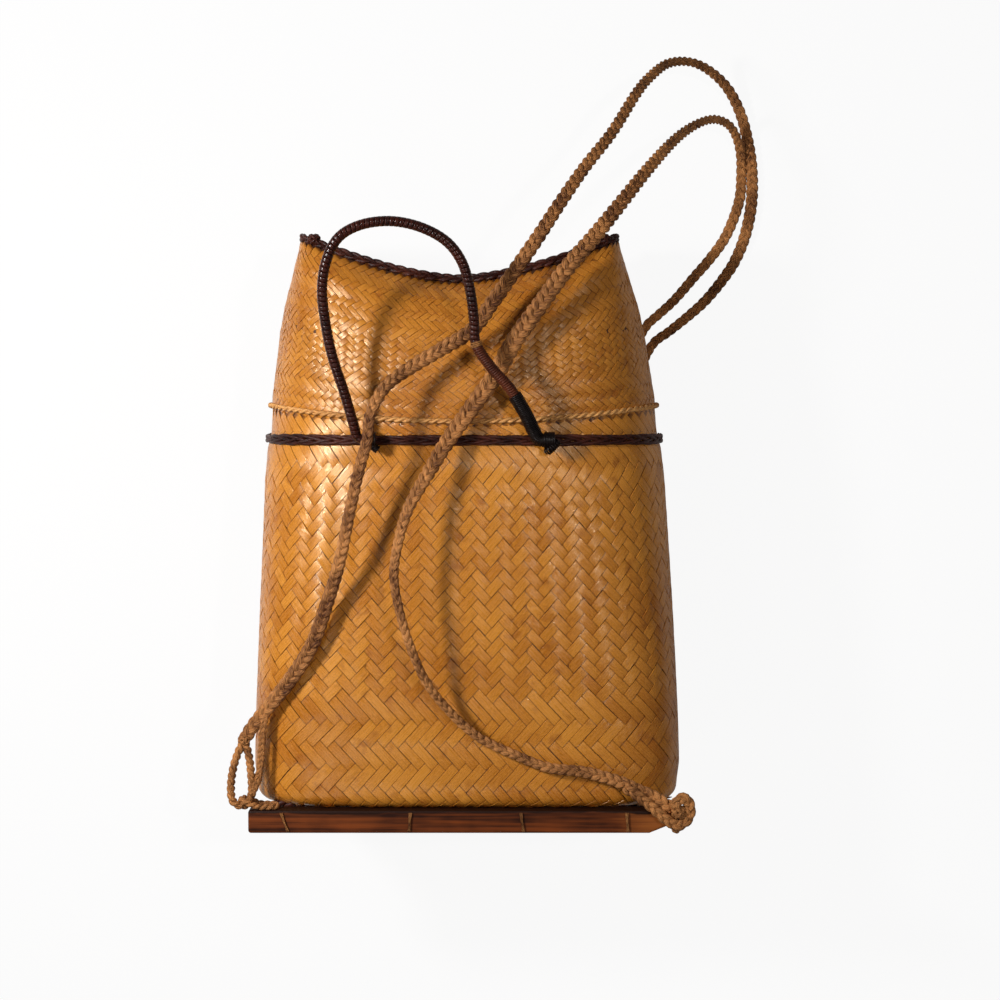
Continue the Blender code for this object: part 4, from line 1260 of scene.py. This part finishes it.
def cross_axes(line: np.ndarray) -> tuple[np.ndarray, np.ndarray]:
    """Two unit directions square to a line at each point, the second one the most upward."""
    ahead = heading(line)
    out = square_to(np.broadcast_to(UP, line.shape), ahead)
    return np.cross(ahead, out), out


@dataclass
class Handle:
    """The bow handle: a bent core under a close winding, two more windings and the lashings."""

    core: Material
    fine: Material
    black: Material
    pale: Material
    band_height: float = 0.2605
    hinge_depth: float = 0.1697
    core_points: int = 160
    toe_shares: tuple[float, float] = (0.035, 0.965)
    thin_shares: tuple[float, float] = (0.77, 0.875)
    toe_radius: float = 0.0031
    core_radius: float = 0.0029
    thin_radius: float = 0.0026
    line_points: int = 3000
    toe_points: int = 600
    loops: int = 7
    loop_wire: float = 0.00052
    loop_reach: float = 0.0049
    loop_spacing: float = 1.96
    loop_sink: float = 0.0004
    left_lashing: float = -0.0620
    right_lashing: float = 0.0548

    def lashing(self, label: str, middle: float) -> Piece:
        """Loops of cord over a handle toe, down to the body beside the band."""
        wire, reach, hinge = self.loop_wire, self.loop_reach, self.hinge_depth
        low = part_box("handle_lashing_" + label)[0][2]
        arch = np.linspace(math.pi, 0.0, 12)
        along = np.concatenate([[-reach, -reach], reach * np.cos(arch), [reach, reach]])
        leg = [low - self.loop_sink, (low + hinge) / 2.0]
        z = np.concatenate([leg, hinge + reach * np.sin(arch), leg[::-1]])
        wide = np.broadcast_to(RIGHT, (len(z), 3))
        tubes = []
        for loop in range(self.loops):
            x = middle + (loop - (self.loops - 1) / 2.0) * wire * self.loop_spacing
            path = np.stack([np.full(z.shape, x), self.band_height - ORIGIN_HEIGHT + along, z], axis=-1)
            tubes.append(Tube(path, wide, np.cross(heading(path), wide), wire, wire))
        piece = tube_piece("lashing_%s_cords" % label, tubes, sides=6, length=0.03, material=self.black,
                           body=Body.BASKET, tints=np.linspace(0.2, 0.8, self.loops))
        return put_in_slot(piece, "black_cord", "handle_lashing_" + label)

    def core_tube(self, knots: np.ndarray) -> Piece:
        """The handle's core, which shows at its toes."""
        line = smooth_path(knots, self.core_points)
        side, out = cross_axes(line)
        ring = np.arange(self.core_points)
        place = ring / (self.core_points - 1.0)
        thin = (place > self.thin_shares[0]) & (place < self.thin_shares[1])
        toe = (place < self.toe_shares[0]) | (place > self.toe_shares[1])
        size = np.where(toe, self.toe_radius, np.where(thin, self.thin_radius, self.core_radius))
        size = (size * np.interp(np.minimum(ring, ring[::-1]), [0, 1, 2], [0.0, 0.8, 1.0]))[:, None]
        tube = Tube(line, side, out, size, size)
        piece = tube_piece("handle_core", [tube], sides=12, length=0.4, material=self.core, body=Body.HANDLE)
        return put_in_slot(piece, "handle_cane", "handle_bow")

    def build(self) -> list[Piece]:
        """Make the handle's pieces."""
        knots = world_route(HANDLE_ROUTE)
        line = smooth_path(knots, self.line_points)
        coil = Winding("handle_coil", 0.00325, 0.00014, 0.0031, "handle_cane", 0.035, 0.772)
        fine = Winding("handle_fine_winding", 0.0033, 0.00036, 0.0015, "fine_wrap_cord", 0.770, 0.878,
                       ("handle_fine_wrap",))
        black = Winding("handle_black_winding", 0.0043, 0.00030, 0.0013, "black_cord", 0.876, 0.996,
                        ("handle_black_wrap",))
        binding = Winding("handle_kink_binding", 0.0036, 0.0005, 0.0012, "strap_fibre", 0.764, 0.7725)
        made = [self.core_tube(knots)]
        for winding, material in ((coil, self.core), (fine, self.fine), (black, self.black),
                                  (binding, self.pale)):
            made.append(winding.build(line, material, Body.HANDLE))
        made += [self.lashing("left", self.left_lashing), self.lashing("right", self.right_lashing)]
        for label, route in (("left", LEFT_TOE_ROUTE), ("right", RIGHT_TOE_ROUTE)):
            toe = Winding("lashing_%s_toe" % label, 0.0024, 0.0005, 0.0014, "black_cord")
            made.append(toe.build(smooth_path(world_route(route), self.toe_points), self.black, Body.BASKET))
        return made


STRAP_LEFT_ROUTE = ((-1470, 618, 1597), (-1420, 700, 1575), (-1340, 800, 1560), (-1165, 1017, 1605),
                    (-1012, 1258, 1660), (-900, 1561, 1720), (-813, 1831, 1810), (-740, 2161, 1890),
                    (-678, 2420, 1930), (-625, 2612, 1940), (-600, 2791, 1930), (-506, 2957, 1880),
                    (-355, 3074, 1820), (-163, 3191, 1770), (43, 3321, 1730), (173, 3497, 1700),
                    (297, 3674, 1670), (460, 3910, 1630), (619, 4158, 1550), (788, 4410, 1410),
                    (979, 4666, 1210), (1157, 4963, 960), (1267, 5110, 780), (1411, 5242, 560),
                    (1587, 5289, 360), (1747, 5251, 210), (1891, 5139, 110), (1994, 4959, 55),
                    (2057, 4721, 37), (2081, 4503, 36), (2075, 4290, 36), (2032, 4078, 36),
                    (1963, 3902, 36), (1879, 3770, 36), (1747, 3608, 36), (1618, 3490, 36),
                    (1471, 3372, 36), (1350, 3276, 36), (1236, 3042, 36), (1137, 2812, 36),
                    (1026, 2692, 36), (903, 2666, 37))
STRAP_RIGHT_ROUTE = ((1371, 168, 1677), (1320, 202, 1684), (1230, 256, 1665), (1138, 292, 1650),
                     (1019, 345, 1650), (786, 414, 1660), (555, 441, 1660), (357, 515, 1665),
                     (93, 645, 1685), (-103, 827, 1740), (-262, 1051, 1830), (-368, 1323, 1910),
                     (-436, 1586, 1950), (-455, 1779, 1950), (-417, 2003, 1930), (-354, 2193, 1890),
                     (-227, 2416, 1820), (-112, 2608, 1760), (30, 2803, 1730), (193, 3030, 1720),
                     (322, 3257, 1710), (485, 3485, 1680), (663, 3730, 1610), (864, 3967, 1500),
                     (1052, 4206, 1350), (1226, 4428, 1160), (1413, 4645, 880), (1559, 4776, 660),
                     (1707, 4862, 460), (1826, 4879, 300), (1922, 4833, 170), (1986, 4702, 75),
                     (2001, 4524, 38), (1986, 4327, 36), (1892, 4078, 36), (1768, 3902, 36),
                     (1665, 3784, 36), (1514, 3608, 36), (1386, 3490, 36), (1297, 3402, 36),
                     (1162, 3148, 36), (1052, 2935, 36), (977, 2802, 36), (903, 2743, 37))
EYE_ROUTE = ((-1475, 600, 1600), (-1530, 480, 1610), (-1558, 340, 1610), (-1555, 220, 1600),
             (-1510, 176, 1590), (-1455, 186, 1586), (-1426, 260, 1583), (-1430, 400, 1586),
             (-1445, 520, 1590))
CORNER_RING_ROUTE = ((-1495, 214, 1588), (-1487, 213, 1620), (-1455, 205, 1640), (-1380, 178, 1630),
                     (-1290, 175, 1620), (-1260, 175, 1580), (-1290, 175, 1545), (-1380, 178, 1535),
                     (-1455, 208, 1530), (-1487, 215, 1550))
ANCHOR_ROUTE = ((750, 2703, 108), (784, 2728, 92), (838, 2740, 60), (870, 2732, 40), (878, 2703, 38),
                (870, 2676, 40), (838, 2668, 60), (784, 2680, 92))
LEFT_KNOT = (-1472, 618, 1605)
RIGHT_KNOT = (1405, 160, 1715)
LEFT_LIMB_ROUTE = ((-1330, 790, 1560), (-1350, 680, 1575), (-1358, 570, 1580), (-1366, 460, 1580),
                   (-1385, 350, 1590), (-1425, 245, 1615))
RIGHT_LIMB_ROUTE = ((1040, 320, 1680), (1110, 280, 1690), (1182, 226, 1695), (1261, 160, 1705),
                    (1333, 101, 1712), (1400, 70, 1715), (1462, 115, 1715), (1475, 190, 1720),
                    (1442, 253, 1735), (1393, 240, 1740), (1366, 185, 1735))


@dataclass
class Straps:
    """The two braided shoulder straps with the loops that hold their ends."""

    fibre: Material
    left_length: float = 0.972
    right_length: float = 0.988
    left_widths: tuple[float, ...] = (0.95, 1.12, 1.02, 0.80, 0.74, 0.72, 1.0, 1.08, 1.08, 0.95, 0.85, 0.8,
                                      0.72, 0.58, 0.78, 0.92, 0.92, 0.8, 0.66, 0.62, 0.6)
    right_widths: tuple[float, ...] = (0.9, 0.85, 0.6, 0.52, 0.48, 0.48, 0.60, 1.05, 1.36, 1.40, 1.30, 1.2,
                                       1.0, 0.8, 0.6, 0.6, 0.8, 0.75, 0.65, 0.62, 0.6)
    path_points: int = 260
    limb_points: int = 90
    loop_points: int = 120

    def stretch(self, name: str, path: np.ndarray, plait: Plait, *nodes: str, **values: object) -> Piece:
        """An open stretch of plait that faces up.

        Args:
            name: The piece's name.
            path: The path that it follows.
            plait: Its sizes.
            nodes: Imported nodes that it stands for.
            values: The braid's other values.

        Returns:
            The finished piece.
        """
        piece = Braid(name, path, UP, plait, self.fibre, Body.BASKET, closed=False, **values).build()
        return put_in_slot(piece, "strap_fibre", *nodes)

    def limb(self, name: str, route: Route, size: float) -> Piece:
        """A short stretch of plait at a strap's end, with its size as a share of the strap's."""
        path = smooth_path(world_route(route), self.limb_points)
        return self.stretch(name, path, LIMB_PLAIT.scaled(size), seed=9)

    def loop(self, name: str, node: str, knots: np.ndarray, cord: Plait) -> Piece:
        """A closed loop of twisted cord that stands for a packed loop."""
        path = smooth_path(knots, self.loop_points, cyclic=True)
        outward = path - path.mean(axis=0) + 1e-5
        piece = Braid(name, path, outward, cord, self.fibre, Body.BASKET).build()
        return put_in_slot(piece, "strap_fibre", node)

    def ring(self, name: str, node: str, route: Route, radius: float, pitch: float = 0.009) -> Piece:
        """A loop of cord of one radius along a route."""
        core, strand = 0.45 * radius, 0.62 * radius
        return self.loop(name, node, world_route(route), Plait.cord(core, core, strand, strand, pitch))

    def wrap(self) -> Piece:
        """The right strap's end, wound round the runner's thin end and knotted there."""
        low, high = (np.array(corner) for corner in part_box("strap_right_wrap"))
        radius, corner = 0.0023, 0.001
        x, middle_y, middle_z = (low + high) / 2.0
        y, z = ((low[axis] + radius, high[axis] - radius) for axis in (1, 2))
        knots = np.array([(x, y[1], z[1] - corner), (x, y[1] + 0.0003, middle_z), (x, y[1], z[0] + corner),
                          (x, middle_y, z[0]), (x, y[0], z[0] + corner), (x, y[0] - 0.0003, middle_z),
                          (x, y[0], z[1] - corner), (x, middle_y, z[1])])
        return self.loop("strap_right_end_wrap", "strap_right_wrap", knots, WRAP_CORD)

    def knot(self, name: str, centre: Sequence[float], radius: float) -> Piece:
        """A knot at a strap's end."""
        piece = ball_knot(name, world_route([centre])[0], radius, self.fibre, Body.BASKET)
        return put_in_slot(piece, "strap_fibre")

    def build(self) -> list[Piece]:
        """Make the straps."""
        routes = (STRAP_LEFT_ROUTE, STRAP_RIGHT_ROUTE)
        left_path, right_path = (smooth_path(world_route(route), self.path_points) for route in routes)
        left = self.stretch("strap_left_braid", left_path, STRAP_PLAIT, "strap_left", widths=self.left_widths,
                            seed=5)
        right = self.stretch("strap_right_braid", right_path, STRAP_PLAIT, "strap_right",
                             widths=self.right_widths, seed=6)
        eye = self.ring("strap_left_eye_loop", "strap_left_eye", EYE_ROUTE, 0.0027)
        ring = self.ring("corner_ring_cord", "corner_ring_left", CORNER_RING_ROUTE, 0.0022)
        anchor = self.ring("anchor_ring_cord", "strap_anchor_ring", ANCHOR_ROUTE, 0.0014, 0.006)
        wrap = self.wrap()
        knot = self.knot("strap_left_end_knot", LEFT_KNOT, 0.0042)
        limb = self.limb("strap_left_limb", LEFT_LIMB_ROUTE, 0.62)
        end = self.limb("strap_right_end_limb", RIGHT_LIMB_ROUTE, 0.95)
        bulk = self.knot("strap_right_end_knot", RIGHT_KNOT, 0.0056)
        return [left, right, eye, ring, anchor, wrap, knot, limb, end, bulk]


@dataclass
class Foot:
    """The wooden foot: runners, cross slats and their stitches."""

    wood: Material
    slat_wood: Material
    fibre: Material
    dark: Material
    # Half length of the dark cord of painted shade between the base and the front runner.
    shade_cord_reach: float = 0.129
    slants: tuple[float, ...] = (0.0042, -0.0012, 0.0015, 0.0006)
    threads: int = 3
    thread_rings: int = 11
    thread_gap: float = 0.00055
    thread_wave: float = 0.00025
    thread_width: float = 0.00038
    thread_depth: float = 0.0004
    bow_share: float = 0.45
    bow_power: float = 0.4

    def paint(self, nodes: dict[str, Piece]) -> None:
        """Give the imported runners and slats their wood."""
        for name, node in nodes.items():
            if name.startswith("foot_runner"):
                node.data.materials[0] = self.wood
            elif name.startswith("foot_slat"):
                node.data.materials[0] = self.slat_wood

    def shade_cord(self) -> Piece:
        """A dark cord laid between the base and the front runner, a dark piece that stands as painted shade
        there.
        """
        low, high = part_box("foot_runner_front")
        x = np.linspace(-self.shade_cord_reach, self.shade_cord_reach, 80)
        path = np.stack([x, np.full(x.shape, high[1] + 0.0006), np.full(x.shape, low[2] - 0.0050)], axis=-1)
        cord = Braid("foot_shade_cord", path, UP, SHADE_CORD, self.dark, Body.BASKET, closed=False)
        return put_in_slot(cord.build(), "dark_braid")

    def stitch(self, side: str, number: int) -> Piece:
        """One stitch on a runner: a bundle of threads bowed over its outer face."""
        node = "runner_tie_%s_%d" % (side, number)
        low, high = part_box(node)
        facing, inner, outer = (1.0, low[2], high[2]) if side == "front" else (-1.0, high[2], low[2])
        height = np.linspace(low[1], high[1], self.thread_rings)
        bow = np.sin(np.linspace(0.12, math.pi - 0.12, self.thread_rings)) ** self.bow_power
        slant = ((height - low[1]) / (high[1] - low[1]) - 0.5) * self.slants[number - 1]
        right, lift = (np.broadcast_to(way, (self.thread_rings, 3)) for way in (RIGHT, facing * UP))
        tubes = []
        for thread in range(self.threads):
            x = ((low[0] + high[0]) / 2.0 + (thread - self.threads // 2) * self.thread_gap - slant
                 + self.thread_wave * np.sin(np.linspace(0.0, 5.0, self.thread_rings) + thread))
            spine = np.stack([x, height, inner + (outer - inner) * self.bow_share * bow], axis=-1)
            tubes.append(Tube(spine, right, lift, self.thread_width, self.thread_depth))
        piece = tube_piece("stitch_%s_%d" % (side, number), tubes, sides=6, length=0.012,
                           material=self.fibre, body=Body.BASKET, tints=np.linspace(0.2, 0.8, self.threads))
        return put_in_slot(piece, "strap_fibre", node)

    def build(self) -> list[Piece]:
        """Make the foot's own pieces."""
        return [self.shade_cord()] + [self.stitch(side, number) for side in ("front", "back")
                                  for number in range(1, len(self.slants) + 1)]


# Studio


@dataclass(frozen=True)
class Lamp:
    """A soft round lamp that looks at the basket."""

    name: str
    place: tuple[float, float, float]
    size: float
    power: float
    colour: Colour

    def build(self) -> None:
        """Add the lamp."""
        data = bpy.data.lights.new(self.name, "AREA")
        data.shape = "DISK"
        data.size = self.size
        data.energy = self.power
        data.color = self.colour
        item = add_object(self.name, data)
        item.location = self.place
        view = Vector((0.0, 0.0, 0.1)) - Vector(self.place)
        item.rotation_euler = view.to_track_quat("-Z", "Y").to_euler()


@dataclass
class Studio:
    """The camera, the pale floor and the soft lights."""

    target: tuple[float, float, float] = (0.0225, 0.01565, 0.0835)
    distance: float = 1.30
    tilt: float = 3.0
    lens: float = 66.86
    floor_white: float = 0.86
    floor_reach: float = 6.0
    camera_white: float = 0.92
    ambient: float = 0.09
    lamps: tuple[Lamp, ...] = (Lamp("key", (-0.52, 0.22, 0.66), 0.12, 5.4, (1.0, 0.97, 0.96)),
                               Lamp("top", (0.56, 0.27, 1.85), 0.08, 5.7, (1.0, 0.93, 0.90)),
                               Lamp("fill", (1.5, -0.3, 1.3), 1.2, 0.4, (1.0, 0.97, 0.94)),
                               Lamp("sheen", (-0.52, -0.58, 1.25), 0.45, 1.7, (1.0, 0.95, 0.92)))

    def camera(self) -> None:
        """Place the camera as the photograph was taken, from above."""
        data = bpy.data.cameras.new("camera")
        data.sensor_width = 36.0
        data.lens = self.lens
        data.clip_end = 50.0
        item = add_object("camera", data)
        tilt = math.radians(self.tilt)
        item.location = Vector(self.target) + self.distance * Vector((0.0, math.sin(tilt), math.cos(tilt)))
        item.rotation_euler = (-tilt, 0.0, 0.0)
        bpy.context.scene.camera = item

    def floor(self) -> None:
        """A pale floor that shows white to the camera and keeps the shadow."""
        sheet = bmesh.new()
        bmesh.ops.create_grid(sheet, x_segments=2, y_segments=2, size=self.floor_reach)
        mesh = bpy.data.meshes.new("floor")
        sheet.to_mesh(mesh)
        sheet.free()
        material = bpy.data.materials.new("pale_floor")
        material.use_nodes = True
        nodes = NodeSheet(material.node_tree)
        shader = material.node_tree.nodes["Principled BSDF"]
        nodes.feed(shader.inputs["Base Color"], (self.floor_white,) * 3)
        nodes.feed(shader.inputs["Roughness"], 0.9)
        glow = nodes.add("ShaderNodeEmission", {"Color": (1.0, 1.0, 1.0)})
        share = nodes.math("MULTIPLY", self.camera_ray(nodes), self.camera_white)
        mix = nodes.add("ShaderNodeMixShader", {0: share, 1: shader.outputs[0], 2: glow.outputs[0]})
        nodes.feed(material.node_tree.nodes["Material Output"].inputs[0], mix.outputs[0])
        mesh.materials.append(material)
        item = add_object("floor", mesh)
        item.location = (0.0, 0.0, -0.0002)

    @staticmethod
    def camera_ray(sheet: NodeSheet) -> Socket:
        """Output that is 1 for what the camera sees directly."""
        return sheet.add("ShaderNodeLightPath").outputs["Is Camera Ray"]

    def world(self) -> None:
        """A dim world that shows white to the camera."""
        world = bpy.data.worlds.new("studio")
        world.use_nodes = True
        sheet = NodeSheet(world.node_tree)
        backdrop = world.node_tree.nodes["Background"]
        sheet.feed(backdrop.inputs["Color"], (1.0, 1.0, 1.0))
        sheet.feed(backdrop.inputs["Strength"], sheet.math("MAXIMUM", self.camera_ray(sheet), self.ambient))
        bpy.context.scene.world = world

    def build(self) -> None:
        """Set up the whole studio."""
        self.camera()
        self.floor()
        for lamp in self.lamps:
            lamp.build()
        self.world()
        bpy.context.scene.view_settings.view_transform = "Standard"


def report(label: str, pieces: Sequence[Piece]) -> None:
    """Log the triangles of each of a sub-assembly's pieces."""
    for piece in pieces:
        faces = sum(len(polygon.vertices) - 2 for polygon in piece.data.polygons)
        LOG.info("%s: %s, %d triangles", label, piece.name, faces)


def main() -> None:
    """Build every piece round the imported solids."""
    logging.basicConfig(level=logging.INFO, format="%(message)s")
    for item in list(bpy.data.objects):
        bpy.data.objects.remove(item, do_unlink=True)
    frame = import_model()
    nodes = frame["nodes"]
    Studio().build()
    body_strips = StripFinish("body_bamboo", roughness=0.29).build()
    lid_strips = StripFinish("lid_bamboo", roughness=0.34, pale=(0.58, 0.230, 0.028),
                             deep=(0.33, 0.094, 0.005)).build()
    dark_braid = FibreFinish("dark_braid_fibre", roughness=0.42, bump=1.0, bump_depth=0.0004, specular=0.22,
                             light=(0.080, 0.018, 0.009), dark=(0.008, 0.002, 0.002), across=12.0).build()
    rim_fibre = FibreFinish("rim_fibre", roughness=0.6, light=(0.80, 0.42, 0.13),
                            dark=(0.32, 0.12, 0.028)).build()
    strap_fibre = FibreFinish("strap_fibre_rope", roughness=0.66, bump=1.0, bump_depth=0.0009, specular=0.25,
                              across=24.0, along=340.0).build()
    handle_cane = FibreFinish("handle_cane_wound", roughness=0.26, light=(0.060, 0.012, 0.006),
                              dark=(0.006, 0.002, 0.002)).build()
    fine_cord = FibreFinish("fine_red_cord", roughness=0.45, specular=0.25, light=(0.125, 0.028, 0.009),
                            dark=(0.028, 0.006, 0.003)).build()
    black_cord = FibreFinish("black_cord_wound", roughness=0.34, specular=0.22, light=(0.009, 0.005, 0.004),
                             dark=(0.002, 0.001, 0.001)).build()
    runner_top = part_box("foot_runner_front")[1][1]
    wood = WoodFinish("runner_worn_wood", bump=0.6, bump_depth=0.0005,
                      shade_start=runner_top - 0.0028).build()
    slat_wood = WoodFinish("slat_worn_wood", roughness=0.6, light=(0.30, 0.13, 0.045),
                           dark=(0.11, 0.035, 0.012), break_start=NEVER, stretch=(300.0, 200.0, 14.0)).build()
    for node, finish in (("basket_body", UnderFinish("under_strips")),
                         ("lid_shell", UnderFinish("lid_under_strips", inner_low=5.0)),
                         ("neck_rim_hoop", WoodFinish("hoop_cane_wood", light=(0.50, 0.28, 0.10),
                                                      dark=(0.28, 0.12, 0.035), break_start=NEVER))):
        nodes[node].data.materials[0] = finish.build()
    form = BasketForm()
    foot = Foot(wood, slat_wood, strap_fibre, dark_braid)
    foot.paint(nodes)
    for label, assembly in (("straps", Straps(strap_fibre)),
                            ("body", BasketBody(form, body_strips, dark_braid)),
                            ("lid", Lid(form, lid_strips, dark_braid, rim_fibre)),
                            ("handle", Handle(handle_cane, fine_cord, black_cord, strap_fibre)),
                            ("foot", foot)):
        report(label, assembly.build())


if __name__ == "__main__":
    main()
